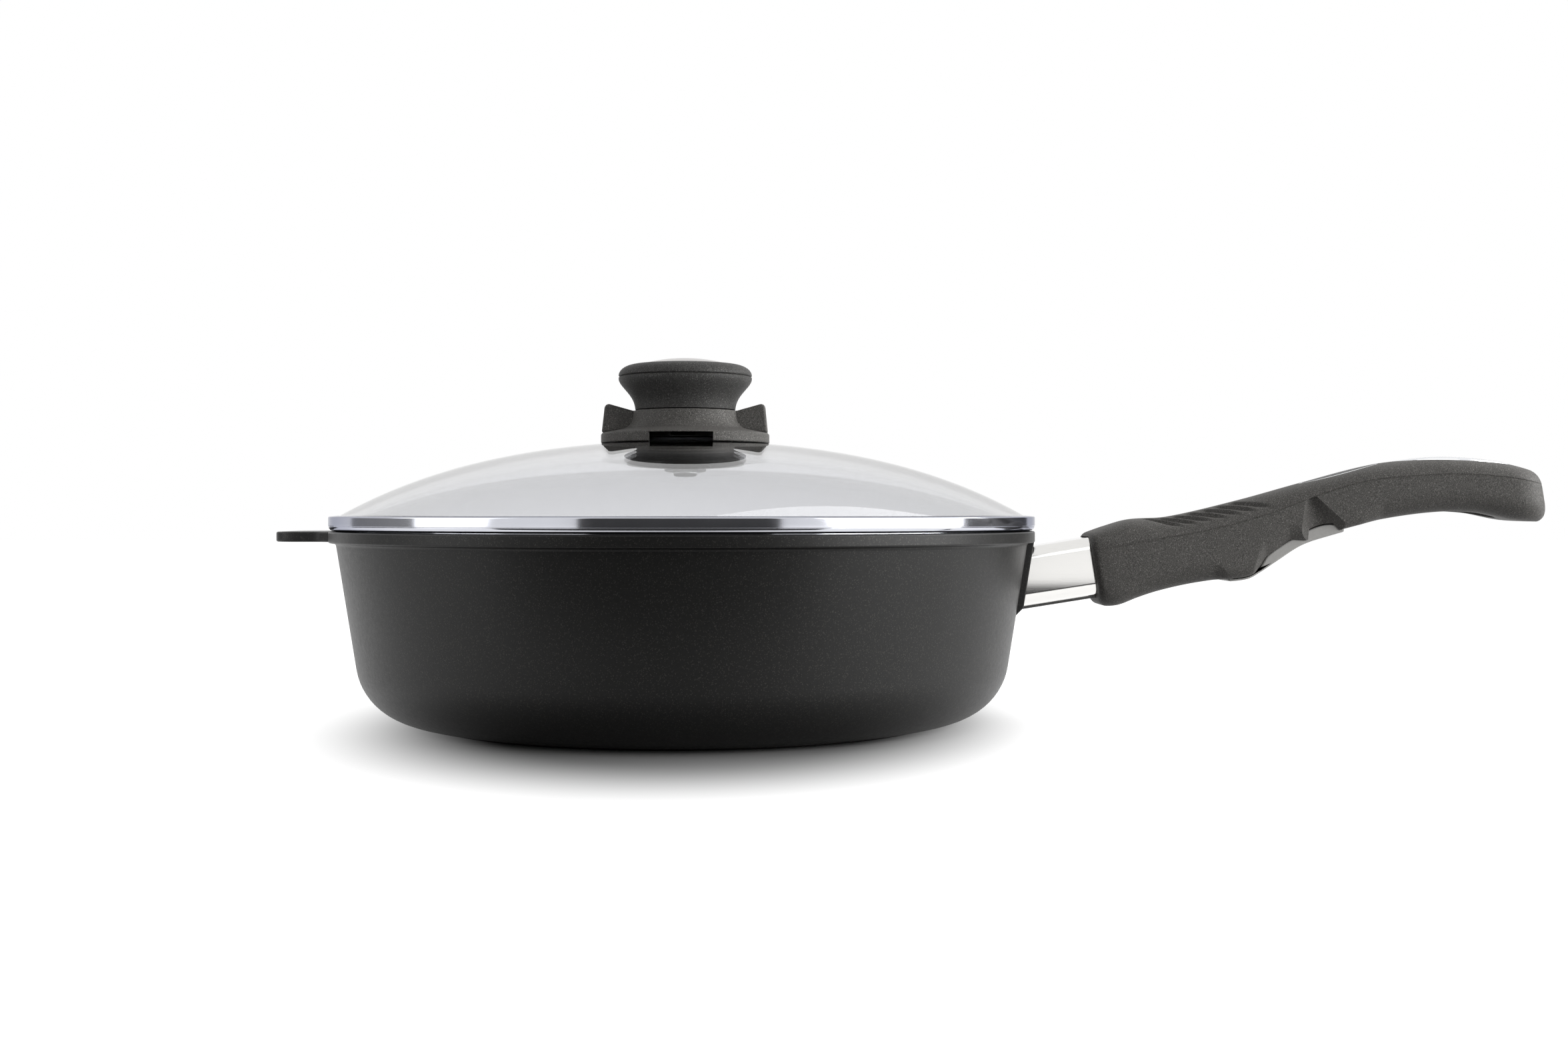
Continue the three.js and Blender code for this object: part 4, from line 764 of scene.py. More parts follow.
cover = loft("cover", [cover_section(u) for u in stations(SHELL_PITCH / 2)])
rib_sizes = {"First": RIB_FIRST, "Pitch": RIB_PITCH, "Depth": RIB_DEPTH}
rib_sizes |= {"Sweep": RIB_SWEEP, "Reach": RIB_REACH}
grow(cover, rib_tree(), {**in_metres(rib_sizes), "Count": float(RIB_COUNT), "Material": RESIN})

# Seats in both shells: the ferrule's socket, the badge, and the hanging eye that goes right through.
BADGE_GAP = 4.95
BADGE_LENGTH = 30.4
BADGE_WIDTH = 13
BADGE_DEPTH = 1.6
EYE_SETBACK = 29.5
EYE_LENGTH = 43.7
EYE_WIDTH = 17
EYE_SLOT_LENGTH = 29
EYE_SLOT_WIDTH = 10
EYE_DEPTH = 3.2
EYE_LINER = 1
EYE_U = HANDLE_END - EYE_SETBACK
BADGE_U = EYE_U - EYE_LENGTH / 2 - BADGE_GAP - BADGE_LENGTH / 2
BADGE_TILT = math.radians(4.9)
FAR = 60
OVAL_STEPS = 96


def oval(length, width):
    """Points of an oval about the middle."""
    turns = [2 * math.pi * k / OVAL_STEPS for k in range(OVAL_STEPS)]
    return [(length / 2 * math.cos(t), width / 2 * math.sin(t)) for t in turns]


def oval_cutter(length, width, low, high, centre, tilt):
    """An oval block square to the handle's top at a place along it."""
    cutter = prism("cutter", oval(length, width), low, high, "xyz")
    spot = Matrix.Translation((centre * MM, 0, top_line(centre) * MM))
    cutter.data.transform(spot @ Matrix.Rotation(tilt, 4, "Y"))
    return cutter


def socket_cutter():
    """Room for the ferrule's end in the collar."""
    width, height = FERRULE_WIDTH + 2 * SEAM, FERRULE_HEIGHT + 2 * SEAM
    outline = box_outline(width, height, FERRULE_CORNER + SEAM, TUBE_CORNER_STEPS)
    return prism("cutter", outline, COLLAR - FERRULE_SEAT, COLLAR + FERRULE_SEAT + SEAM, "yzx")


def eye_cutter():
    """The hanging eye's way through the handle, with room for its lining."""
    grow_by = 2 * (EYE_LINER + SEAM)
    length, width = EYE_SLOT_LENGTH + grow_by, EYE_SLOT_WIDTH + grow_by
    return oval_cutter(length, width, -FAR, FAR, EYE_U, HANDLE_TILT)


def seat_cutter(length, width, depth, centre, tilt):
    """Room for an oval inlay, open to the top."""
    return oval_cutter(length + 2 * SEAM, width + 2 * SEAM, -depth - SEAM, FAR, centre, tilt)


badge_seat = seat_cutter(BADGE_LENGTH, BADGE_WIDTH, BADGE_DEPTH, BADGE_U, -BADGE_TILT)
eye_seat = seat_cutter(EYE_LENGTH, EYE_WIDTH, EYE_DEPTH, EYE_U, HANDLE_TILT)
combine(cover, [badge_seat, eye_seat, eye_cutter(), socket_cutter()], "DIFFERENCE")
fit_on_slope(cover, RESIN, "dark_moulding", "handle", "handle_cover")

# The lower shell's hollows: the slide's channel, the lever's bay with its hinge, and the finger scoops.
RUNNING = 0.4
LEVER_START = 47.4
LEVER_LENGTH = 44
LEVER_HALF_WIDTH = 10.8
LEVER_THICKNESS = 1.3
LEVER_FRONT_LENGTH = 11
LEVER_PROUD = 1
LEVER_STRIP_RISE = 2.9
LEVER_TAIL_RISE = 3.2
LEVER_TAIL_LENGTH = 16
LEVER_STEP_END = 1.4  # share of the front's length at which the lever's top has stepped up to the strip
LEVER_SWELL = (0.8, 0.4)  # shares of the tail's length, from its end, between which it is thickest
LEVER_STEPS = 56
LEVER_SWING = math.radians(25)
PIVOT_SETBACK = 3.8
PIVOT_RISE = 4.2
PIN_RADIUS = 1.5
KNUCKLE_WALL = 0.9
ARM_WIDTH = 4
ARM_THICKNESS = 2.6
ARM_TIP = 1.2
STRIP_WIDTH = 10
STRIP_THICKNESS = 1
JOGGLE_START = 3
JOGGLE_LENGTH = 8
SLIDE_RISE = 5.8
SLIDE_TAIL = 3.5
SCOOP_DEPTH = 6.4
SCOOP_APEX = 15.0
SCOOP_BASE = -12.0
SCOOP_LIFT = 0.4  # by which the hollow's edge stands off the handle's side
SCOOP_FRONT = 99.13  # from the boss, at the height of the handle's axis
SCOOP_FRONT_SLOPE = 0.322
SCOOP_BACK = 117.74
SCOOP_BACK_SLOPE = -0.82
SCOOP_DEEPENING = 0.55  # exponent of the depth's growth from the apex down
SCOOP_LEAST = 0.5
SCOOP_CLEAR = 4
SCOOP_ROWS = 20
SCOOP_COLUMNS = 28
LEVER_FRONT = COLLAR + LEVER_START
LEVER_END = LEVER_FRONT + LEVER_LENGTH
PIVOT_U = LEVER_FRONT + PIVOT_SETBACK
PIVOT_W = bottom_line(PIVOT_U) + PIVOT_RISE
KNUCKLE_RADIUS = PIN_RADIUS + SEAM + KNUCKLE_WALL
STRIP_TOP = -HALF_FERRULE - SEAM
SLIDE_LOW = PIVOT_W + SLIDE_RISE - STRIP_THICKNESS / 2
SLIDE_TRAVEL = SLIDE_RISE * math.tan(LEVER_SWING)
ARM_TOP = SLIDE_LOW + STRIP_THICKNESS + ARM_TIP

tail_line = smooth_line([
    (LEVER_FRONT, LEVER_THICKNESS - LEVER_PROUD),
    (LEVER_FRONT + LEVER_FRONT_LENGTH, LEVER_THICKNESS - LEVER_PROUD),
    (LEVER_FRONT + LEVER_FRONT_LENGTH * LEVER_STEP_END, LEVER_STRIP_RISE),
    (LEVER_END - LEVER_TAIL_LENGTH, LEVER_STRIP_RISE),
    *((LEVER_END - LEVER_TAIL_LENGTH * share, LEVER_TAIL_RISE) for share in LEVER_SWELL),
    (LEVER_END, LEVER_TAIL_RISE / 2),
])


def lever_outline(lift, reach, drop):
    """The lever plate's side outline, grown upwards, lengthwise and down."""
    start, end = LEVER_FRONT - reach, LEVER_END + 2 * reach
    places = [start + (end - start) * k / LEVER_STEPS for k in range(LEVER_STEPS + 1)]
    low = [(u, bottom_line(u) - LEVER_PROUD - drop) for u in places]
    return low + [(u, bottom_line(u) + tail_line(u) + lift) for u in reversed(places)]


def block(xs, ys, zs):
    """A plain block between pairs of limits in mm."""
    outline = [(xs[0], ys[0]), (xs[1], ys[0]), (xs[1], ys[1]), (xs[0], ys[1])]
    return prism("cutter", outline, zs[0], zs[1], "xyz")


def lever_bay():
    """The room for the lever's plate, its hinge through the swing, and its arm."""
    half = LEVER_HALF_WIDTH + RUNNING
    bay = prism("cutter", lever_outline(RUNNING, RUNNING, FAR), -half, half, "xzy")
    swept = math.hypot(PIVOT_SETBACK, PIVOT_RISE + LEVER_PROUD) + RUNNING
    turn = math.atan2(PIVOT_RISE + LEVER_PROUD, PIVOT_SETBACK) - LEVER_SWING
    front = PIVOT_U - swept * math.cos(turn)
    back = PIVOT_U + KNUCKLE_RADIUS + 2 * RUNNING
    hinge = block((front, back), (-half, half), (-FAR, PIVOT_W + KNUCKLE_RADIUS + RUNNING))
    tip = (ARM_TOP - PIVOT_W) * math.sin(LEVER_SWING) + ARM_THICKNESS
    arm_half = ARM_WIDTH / 2 + RUNNING
    arm_ends = (PIVOT_U - ARM_THICKNESS, PIVOT_U + tip + RUNNING)
    return [bay, hinge, block(arm_ends, (-arm_half, arm_half), (-FAR, ARM_TOP + RUNNING))]


def slide_channel():
    """The slot that the latch slide runs in, stepped up to the lever's arm."""
    low = STRIP_TOP - STRIP_THICKNESS - SEAM / 2
    step = COLLAR + FERRULE_SEAT + JOGGLE_START
    back = SLIDE_TRAVEL + RUNNING + STRIP_THICKNESS / 2
    front = RUNNING + STRIP_THICKNESS / 2
    end = PIVOT_U + ARM_THICKNESS + SLIDE_TAIL + SLIDE_TRAVEL + RUNNING
    upper = SLIDE_LOW + STRIP_THICKNESS + RUNNING
    outline = [
        (COLLAR - FERRULE_SEAT, low),
        (step + back, low),
        (step + JOGGLE_LENGTH + back, SLIDE_LOW - RUNNING),
        (end, SLIDE_LOW - RUNNING),
        (end, upper),
        (step + JOGGLE_LENGTH - front, upper),
        (step - front, STRIP_TOP + RUNNING),
        (COLLAR - FERRULE_SEAT, STRIP_TOP + RUNNING),
    ]
    half = STRIP_WIDTH / 2 + RUNNING
    return prism("cutter", outline, -half, half, "xzy")


def scoop_cutter(side):
    """A finger hollow between a steep front and a long back, deeper and longer towards the lever."""
    rows, columns = SCOOP_ROWS, SCOOP_COLUMNS
    inner, outer = [], []
    for r in range(rows + 1):
        w = SCOOP_BASE + (SCOOP_APEX - SCOOP_BASE) * r / rows
        front, back = SCOOP_FRONT + SCOOP_FRONT_SLOPE * w, SCOOP_BACK + SCOOP_BACK_SLOPE * w
        depth = SCOOP_DEPTH * ((SCOOP_APEX - w) / (SCOOP_APEX - SCOOP_BASE)) ** SCOOP_DEEPENING
        for c in range(columns + 1):
            s = c / columns
            u = front + max(back - front, SCOOP_LEAST) * s
            hollow = (depth + SCOOP_LIFT) * math.sin(math.pi * s)
            inner.append((u, side * (width_line(u) + SCOOP_LIFT - hollow), w))
            outer.append((u, side * (width_line(u) + SCOOP_CLEAR), w))
    row = columns + 1
    corners = [r * row + c for r in range(rows) for c in range(columns)]
    faces = [(a, a + 1, a + row + 1, a + row) for a in corners]
    size = len(inner)
    faces += [tuple(size + i for i in face) for face in faces]
    last = rows * row
    rim = [*range(row), *range(row + columns, last + row, row)]
    rim += [*range(last + columns - 1, last - 1, -1), *range(last - row, 0, -row)]
    for a, b in zip(rim, rim[1:] + rim[:1]):
        faces.append((a, b, size + b, size + a))
    return add_piece("cutter", np.array(inner + outer) * MM, faces)


shell = loft("shell", [body_section(u) for u in stations(SHELL_PITCH)])
hollows = [scoop_cutter(1), scoop_cutter(-1), eye_cutter(), *lever_bay(), slide_channel(), socket_cutter()]
combine(shell, hollows, "DIFFERENCE")
fit_on_slope(shell, RESIN, "dark_moulding", "handle", "handle_body")

# Release lever
# A light grey moulding under the handle, with a thicker tail for the finger and a hinge on a steel pin
# at its front. A torsion spring holds it up, and its arm draws the latch slide back.
LEVER_EDGE = 0.9
PIVOT_STEPS = 40
WIRE_RADIUS = 0.4
SPRING_TURNS = 3
SPRING_PITCH = 1.3


def moulded_skin(name, dark, light, patch, gloss, grain):
    """A plain moulding with patches of two colours, gloss (least, spread, patch) and grain (size, depth)."""
    material, place, shader = finish(name, {"Specular IOR Level": 0.4})
    mottle(place, patch).mix((*dark, 1), (*light, 1)).into(shader, "Base Color")
    least, spread, gloss_patch = gloss
    (least + spread * mottle(place, gloss_patch)).into(shader, "Roughness")
    size, depth = grain
    raise_grain(mottle(place, size), shader, depth, 0.4)
    return material


def pivot_rod(radius, left, right):
    """A rod about the lever's hinge axis, from one side of the handle to the other."""
    turns = [2 * math.pi * k / PIVOT_STEPS for k in range(PIVOT_STEPS)]
    outline = [(PIVOT_U + radius * math.cos(t), PIVOT_W + radius * math.sin(t)) for t in turns]
    return prism("rod", outline, left, right, "xzy")


GREY = moulded_skin(
    "grey_moulding", (0.34, 0.335, 0.325), (0.43, 0.425, 0.41), 0.7, (0.4, 0.12, 1.2), (0.4, 0.02)
)
lever = prism("lever", lever_outline(0, 0, 0), -LEVER_HALF_WIDTH, LEVER_HALF_WIDTH, "xzy")
ease(lever, LEVER_EDGE, steps=4, angle=50)
knuckle_ends = (PIVOT_U - KNUCKLE_RADIUS, PIVOT_U + KNUCKLE_RADIUS)
pivot_floor = bottom_line(PIVOT_U)
web = block(knuckle_ends, (-LEVER_HALF_WIDTH, LEVER_HALF_WIDTH), (pivot_floor, PIVOT_W))
knuckle = pivot_rod(KNUCKLE_RADIUS, -LEVER_HALF_WIDTH, LEVER_HALF_WIDTH)
half_arm = ARM_THICKNESS / 2
arm = block((PIVOT_U - half_arm, PIVOT_U + half_arm), (-ARM_WIDTH / 2, ARM_WIDTH / 2), (PIVOT_W, ARM_TOP))
combine(lever, [web, knuckle, arm], "UNION")
spring_start = ARM_WIDTH / 2 + RUNNING
spring_end = spring_start + SPRING_TURNS * SPRING_PITCH + 2 * WIRE_RADIUS + 2 * SEAM
spring_room = block(
    (knuckle_ends[0] - FAR, knuckle_ends[1] + SEAM),
    (spring_start, spring_end),
    (pivot_floor + tail_line(PIVOT_U), PIVOT_W + FAR),
)
combine(lever, [spring_room, pivot_rod(PIN_RADIUS + SEAM, -FAR, FAR)], "DIFFERENCE")
fit_on_slope(lever, GREY, "grey_moulding", "lever", "release_lever")

# The pin and the spring keep their plain shapes.
for name in ("lever_pin", "lever_spring"):
    frame["nodes"][name].material_slots[0].material = ZINC

# Badge and hanging eye
# Polished ovals let into the crown: a thin frame round a bare dark plate, and a bright lining of the eye.
# Each is pressed into its seat: the badge lies just under the moulding's skin, the eye's frame stands proud.
BADGE_BAND = 1.1
BADGE_PROUD = -0.1
BADGE_EDGE = 0.25
PLATE_EDGE = 0.15
PLATE_SHARES = (1.0, 0.97, 0.8, 0.6, 0.4, 0.2, 0.02)  # of the plate's size, for the rings of its face
EYE_FRAME = (EYE_LENGTH, EYE_WIDTH)
EYE_SLOT = (EYE_SLOT_LENGTH, EYE_SLOT_WIDTH)
EYE_EDGE = 0.5
EYE_FOOT = -0.1
EYE_PROUD = 0.75
EYE_SINK = 0.7  # how much less the frame stands proud at its two ends
EYE_SHOULDER = 0.7  # share of the frame's height and sink at its outer edge
EYE_INNER = 0.8  # share of the frame's height at its inner edge
EYE_LIP = 0.2
EYE_LINER_DROP = 9
INLAY_ROUNDS = 3  # steps in which an inlay's point settles on the curved crown
SNUG = SEAM / 3  # gap between pieces that are pressed or clamped together


def polished_metal(name, dull, bright, roughness, edge=(1, 1, 1, 1)):
    """Bright rolled metal with a faint unevenness in its colour and gloss, and a tint at grazing angles."""
    material, place, shader = finish(name, {"Metallic": 1.0, "Specular Tint": edge})
    mottle(place, 9.0).mix(dull, bright).into(shader, "Base Color")
    (roughness + 0.07 * mottle(place, 7.0)).into(shader, "Roughness")
    raise_grain(mottle(place, 3.0), shader, 0.004, 0.3)
    return material


POLISHED = polished_metal("polished_metal", (0.8, 0.81, 0.83, 1), (0.86, 0.87, 0.89, 1), 0.06)
BLACK = moulded_skin(
    "black_moulding", (0.012, 0.012, 0.012), (0.02, 0.02, 0.02), 0.6, (0.36, 0.15, 1.1), (0.5, 0.02)
)


def inlay_ring(centre, length, width, lift, tilt, level=None, sink=0.0):
    """An oval ring lifted off the crown, less by the sink at its ends, or flat at a level of its own."""
    ring = []
    for a, b in oval(length, width):
        height = 0.0 if level is None else level
        for _ in range(INLAY_ROUNDS):
            u = centre + a * math.cos(tilt) + height * math.sin(tilt)
            w = top_line(centre) - a * math.sin(tilt) + height * math.cos(tilt)
            if level is None:
                height += crown(u, b, lift - sink * (2 * a / EYE_LENGTH) ** 2) - w
        ring.append((u, b, w))
    return ring


def badge_ring(margin, lift, share=1.0):
    """A ring of the badge, whose size is the frame's with a margin, or a share of that."""
    length, width = (BADGE_LENGTH + margin) * share, (BADGE_WIDTH + margin) * share
    return inlay_ring(BADGE_U, length, width, lift, -BADGE_TILT)


band = -2 * BADGE_BAND
band_rings = [
    badge_ring(0, -BADGE_DEPTH),
    badge_ring(0, BADGE_PROUD - BADGE_EDGE),
    badge_ring(-BADGE_EDGE, BADGE_PROUD),
    badge_ring(band + BADGE_EDGE, BADGE_PROUD),
    badge_ring(band, BADGE_PROUD - BADGE_EDGE),
    badge_ring(band, -BADGE_DEPTH),
]
badge_band = ring_piece("badge_band", band_rings)
fit_on_slope(badge_band, POLISHED, "polished_metal", "handle", "badge_frame")

plate_margin = -2 * (BADGE_BAND + SNUG)
plate_rings = [badge_ring(plate_margin, -BADGE_DEPTH)]
for share in PLATE_SHARES:
    plate_lift = BADGE_PROUD / 2 - (PLATE_EDGE if share == 1 else 0)
    plate_rings.append(badge_ring(plate_margin, plate_lift, share))
plate = loft("badge_inlay", plate_rings)
fit_on_slope(plate, BLACK, "black_moulding", "handle", "badge_plate")


def eye_ring(size, margin, lift, sink=0.0, level=None):
    """A ring of the eye, from an oval's size and a margin."""
    length, width = size
    return inlay_ring(EYE_U, length + margin, width + margin, lift, HANDLE_TILT, level, sink)


liner = 2 * EYE_LINER
eye_rings = [
    eye_ring(EYE_FRAME, 0, None, level=-EYE_DEPTH),
    eye_ring(EYE_FRAME, 0, EYE_FOOT),
    eye_ring(EYE_FRAME, -EYE_EDGE, EYE_PROUD * EYE_SHOULDER, EYE_SINK * EYE_SHOULDER),
    eye_ring(EYE_FRAME, -4 * EYE_EDGE, EYE_PROUD, EYE_SINK),
    eye_ring(EYE_SLOT, liner, EYE_PROUD * EYE_INNER, EYE_SINK),
    eye_ring(EYE_SLOT, EYE_EDGE, EYE_LIP),
    eye_ring(EYE_SLOT, 0, -EYE_EDGE),
    eye_ring(EYE_SLOT, 0, None, level=-EYE_LINER_DROP),
    eye_ring(EYE_SLOT, liner, None, level=-EYE_LINER_DROP),
    eye_ring(EYE_SLOT, liner, None, level=-EYE_DEPTH),
]
eye = ring_piece("eye_lining", eye_rings)
fit_on_slope(eye, POLISHED, "polished_metal", "handle", "hang_eye_frame", degrees=40)

# Lid glass
# A clear tempered glass dome, pressed while hot, with a ground hole in its middle for the knob.
# The rolled rim holds its edge.
GLASS = 3
DOME_APEX = 32.8
DOME_RISE = 28
DOME_FLATNESS = 0.3
GLASS_HOLE_RADIUS = 8.1
GLASS_STEPS = 40
RIM_WEB = 2.3
LID_SEAT = PAN_HEIGHT + SEAM
RIM_CHANNEL = LIP_RADIUS - RIM_WEB
GLASS_RADIUS = RIM_CHANNEL - SEAM


def glass_top(radius):
    """Height of the dome's upper face."""
    share = radius / GLASS_RADIUS
    fall = (1 - DOME_FLATNESS) * share ** 2 + DOME_FLATNESS * share ** 4
    return PAN_HEIGHT + DOME_APEX - DOME_RISE * fall


def glass_under(radius):
    """Height of the dome's lower face."""
    return glass_top(radius) - GLASS


def clear_glass():
    """Clear glass with a faint unevenness."""
    material, place, shader = finish("clear_glass", {"Transmission Weight": 1.0, "IOR": 1.47})
    mottle(place, 30.0).mix((0.855, 0.86, 0.88, 1), (0.875, 0.88, 0.9, 1)).into(shader, "Base Color")
    (0.004 + 0.008 * mottle(place, 9.0)).into(shader, "Roughness")
    return material


def lid_part(name, section, material, slot, node, closed=True, segments=KNOB_TURN):
    """A half section, turned and fitted on the lid."""
    fit(turned(name, section, material, closed, segments), material, slot, "lid", node)


glass_span = GLASS_RADIUS - GLASS_HOLE_RADIUS
glass_radii = [GLASS_HOLE_RADIUS + glass_span * k / GLASS_STEPS for k in range(GLASS_STEPS + 1)]
dome_section = [(radius, glass_under(radius)) for radius in glass_radii]
dome_section += [(radius, glass_top(radius)) for radius in reversed(glass_radii)]
lid_part("dome", dome_section, clear_glass(), "clear_glass", "lid_glass", segments=FINE_TURN)

# Lid rim and its seal
# A polished stainless strip rolled round the edge of the glass, with a crease above a lower bead and a skirt
# that drops inside the pan. A silicone seal is clamped under the glass.
RIM_LAP = 0.5
RIM_SHEET = 0.35
RIM_HEIGHT = 4.9
RIM_SHOULDER = 0.5
RIM_BEAD = 1.65
RIM_CREASE = 0.3
RIM_CREASE_EDGE = 0.1
RIM_BASE = 0.6
RIM_SKIRT_DROP = 2.6
RIM_SKIRT_GAP = 0.8
SEAL_WIDTH = 4.4
SEAL_EDGE = 0.3
SILICONE = moulded_skin(
    "silicone", (0.055, 0.058, 0.062), (0.075, 0.078, 0.083), 2.0, (0.55, 0.15, 1.5), (0.6, 0.015)
)
lap = GLASS_RADIUS - RIM_LAP
crease = LID_SEAT + RIM_BEAD
skirt = inner_radius(PAN_HEIGHT - RIM_SKIRT_DROP) - RIM_SKIRT_GAP
rim_shelf = LID_SEAT + RIM_BASE
rim_section = [
    (lap, glass_top(lap) + SNUG),
    (RIM_CHANNEL, glass_top(RIM_CHANNEL) + SNUG),
    (RIM_CHANNEL, rim_shelf),
    (skirt - RIM_SHEET, rim_shelf),
    (skirt - RIM_SHEET, LID_SEAT - RIM_SKIRT_DROP),
    (skirt, LID_SEAT - RIM_SKIRT_DROP),
    (skirt, LID_SEAT),
    (LIP_RADIUS - RIM_CREASE / 2, LID_SEAT, RIM_BEAD - RIM_CREASE / 2),
    (LIP_RADIUS - RIM_CREASE / 2, crease),
    (LIP_RADIUS, crease + RIM_CREASE / 2, RIM_CREASE_EDGE),
    (LIP_RADIUS, LID_SEAT + RIM_HEIGHT, RIM_SHOULDER),
    (lap, glass_top(lap) + SNUG + RIM_SHEET, RIM_SHEET / 2),
]
RIM_EDGE = (0.48, 0.49, 0.55, 1)
RIM_STEEL = polished_metal("rim_steel", (0.57, 0.58, 0.63, 1), (0.63, 0.64, 0.69, 1), 0.08, RIM_EDGE)
lid_part("rim", rim_section, RIM_STEEL, "polished_metal", "lid_rim", segments=FINE_TURN)

seal_inner = GLASS_RADIUS - SEAL_WIDTH
seal_section = [
    (seal_inner, rim_shelf + SNUG, SEAL_EDGE),
    (GLASS_RADIUS, rim_shelf + SNUG, SEAL_EDGE),
    (GLASS_RADIUS, glass_under(GLASS_RADIUS) - SNUG, SEAL_EDGE),
    (seal_inner, glass_under(seal_inner) - SNUG, SEAL_EDGE),
]
lid_part("seal", seal_section, SILICONE, "silicone", "rim_seal", segments=FINE_TURN)

# Clamp under the knob
# Two silicone rings hold the glass between the vent core above and a black moulded washer below.
# A slotted black nut lets steam in, and a long screw pulls everything together.
UPPER_GASKET_RADIUS = 17
GASKET = 0.6
GASKET_EDGE = 0.25
LOWER_GASKET_RADIUS = 20
LOWER_GASKET_EDGE = 0.2
WASHER_RADIUS = 21.6
WASHER = 0.8
WASHER_EDGE = 0.25
WASHER_BORE_EDGE = 0.2
CAGE_FLANGE_RADIUS = 9.4
CAGE_FLANGE = 0.9
CAGE_RADIUS = 7.7
CAGE_HEIGHT = 2.4
CAGE_SLOTS = 6
CAGE_SLOT_WIDTH = 2
CAGE_EDGE = 0.2
SCREW_RADIUS = 2.1
SCREW_HEAD_RADIUS = 4.5
SCREW_HEAD_HEIGHT = 1.6
SCREW_HEAD_ROUND = 0.8  # share of the head's height
SCREW_HEAD_EDGE = 0.15
SCREW_THREAD = 4.2
SCREW_POINT = 0.5
SCREW_TURN = 48
STEAM_BORE_CIRCLE = 5
HOLE = GLASS_HOLE_RADIUS
UPPER_GASKET_TOP = glass_top(HOLE) + SEAM + GASKET
LOWER_GASKET_BOTTOM = glass_under(LOWER_GASKET_RADIUS) - SEAM - GASKET
WASHER_TOP = LOWER_GASKET_BOTTOM - SEAM
WASHER_BOTTOM = WASHER_TOP - WASHER
CAGE_TOP = WASHER_BOTTOM - SEAM
CAGE_BOTTOM = CAGE_TOP - CAGE_HEIGHT
SCREW_BORE = SCREW_RADIUS + SEAM

upper_section = [
    (HOLE, glass_top(HOLE) + SNUG),
    (UPPER_GASKET_RADIUS, glass_top(UPPER_GASKET_RADIUS) + SNUG, GASKET_EDGE),
    (UPPER_GASKET_RADIUS, UPPER_GASKET_TOP, GASKET_EDGE),
    (HOLE, UPPER_GASKET_TOP),
]
lid_part("upper_ring", upper_section, SILICONE, "silicone", "upper_gasket")

lower_section = [
    (HOLE, LOWER_GASKET_BOTTOM),
    (LOWER_GASKET_RADIUS, LOWER_GASKET_BOTTOM, LOWER_GASKET_EDGE),
    (LOWER_GASKET_RADIUS, glass_under(LOWER_GASKET_RADIUS) - SNUG, LOWER_GASKET_EDGE),
    (HOLE, glass_under(HOLE) - SNUG),
]
lid_part("lower_ring", lower_section, SILICONE, "silicone", "lower_gasket")

washer_section = [
    (HOLE, WASHER_BOTTOM, WASHER_BORE_EDGE),
    (WASHER_RADIUS, WASHER_BOTTOM, WASHER_EDGE),
    (WASHER_RADIUS, WASHER_TOP, WASHER_EDGE),
    (HOLE, WASHER_TOP, WASHER_BORE_EDGE),
]
lid_part("washer", washer_section, BLACK, "black_moulding", "under_washer")


def slot_tree():
    """Cuts a ring of radial slots through the side of a turned piece."""
    sizes = {size: "Float" for size in ("Inner", "Outer", "Width", "Low", "High")}
    given = new_tree("radial_slots", {"Count": "Int", **sizes, "Material": "Material"})
    start = given["Geometry"]
    length, height = given["Outer"] - given["Inner"], given["High"] - given["Low"]
    size = start.make("ShaderNodeCombineXYZ", (), {"X": length, "Y": given["Width"], "Z": height})
    bar = start.make("GeometryNodeMeshCube", (), {"Size": size})
    spot = {"X": given["Inner"] + length / 2, "Z": given["Low"] + height / 2}
    spot = start.make("ShaderNodeCombineXYZ", (), spot)
    bar = start.make("GeometryNodeTransform", (), {"Geometry": bar, "Translation": spot})
    points = start.make("GeometryNodePoints", (), {"Count": given["Count"]})
    number = start.make("GeometryNodeInputIndex")
    turn = start.make("ShaderNodeCombineXYZ", (), {"Z": number * (2 * math.pi) / given["Count"]})
    copies = {"Points": points, "Instance": bar, "Rotation": turn}
    bars = start.make("GeometryNodeInstanceOnPoints", (), copies)
    bars = start.make("GeometryNodeRealizeInstances", (), {"Geometry": bars})
    settings = {"operation": "DIFFERENCE", "solver": "EXACT"}
    slotted = start.make("GeometryNodeMeshBoolean", settings, {0: start, 1: bars})
    return close_tree(slotted, given["Material"])


cage_flange = CAGE_TOP - CAGE_FLANGE
cage_section = [
    (SCREW_BORE, CAGE_BOTTOM),
    (CAGE_RADIUS, CAGE_BOTTOM, CAGE_FLANGE / 2),
    (CAGE_RADIUS, cage_flange),
    (CAGE_FLANGE_RADIUS, cage_flange, CAGE_EDGE),
    (CAGE_FLANGE_RADIUS, CAGE_TOP, CAGE_EDGE),
    (SCREW_BORE, CAGE_TOP),
]
cage = turned("cage", cage_section, BLACK, closed=True)
slot_sizes = {"Inner": STEAM_BORE_CIRCLE, "Outer": 2 * CAGE_RADIUS, "Width": CAGE_SLOT_WIDTH}
slot_sizes |= {"Low": CAGE_BOTTOM + CAGE_FLANGE / 2, "High": cage_flange}
grow(cage, slot_tree(), {**in_metres(slot_sizes), "Count": CAGE_SLOTS, "Material": BLACK})
soften(cage)
fit(cage, BLACK, "black_moulding", "lid", "vent_cage")

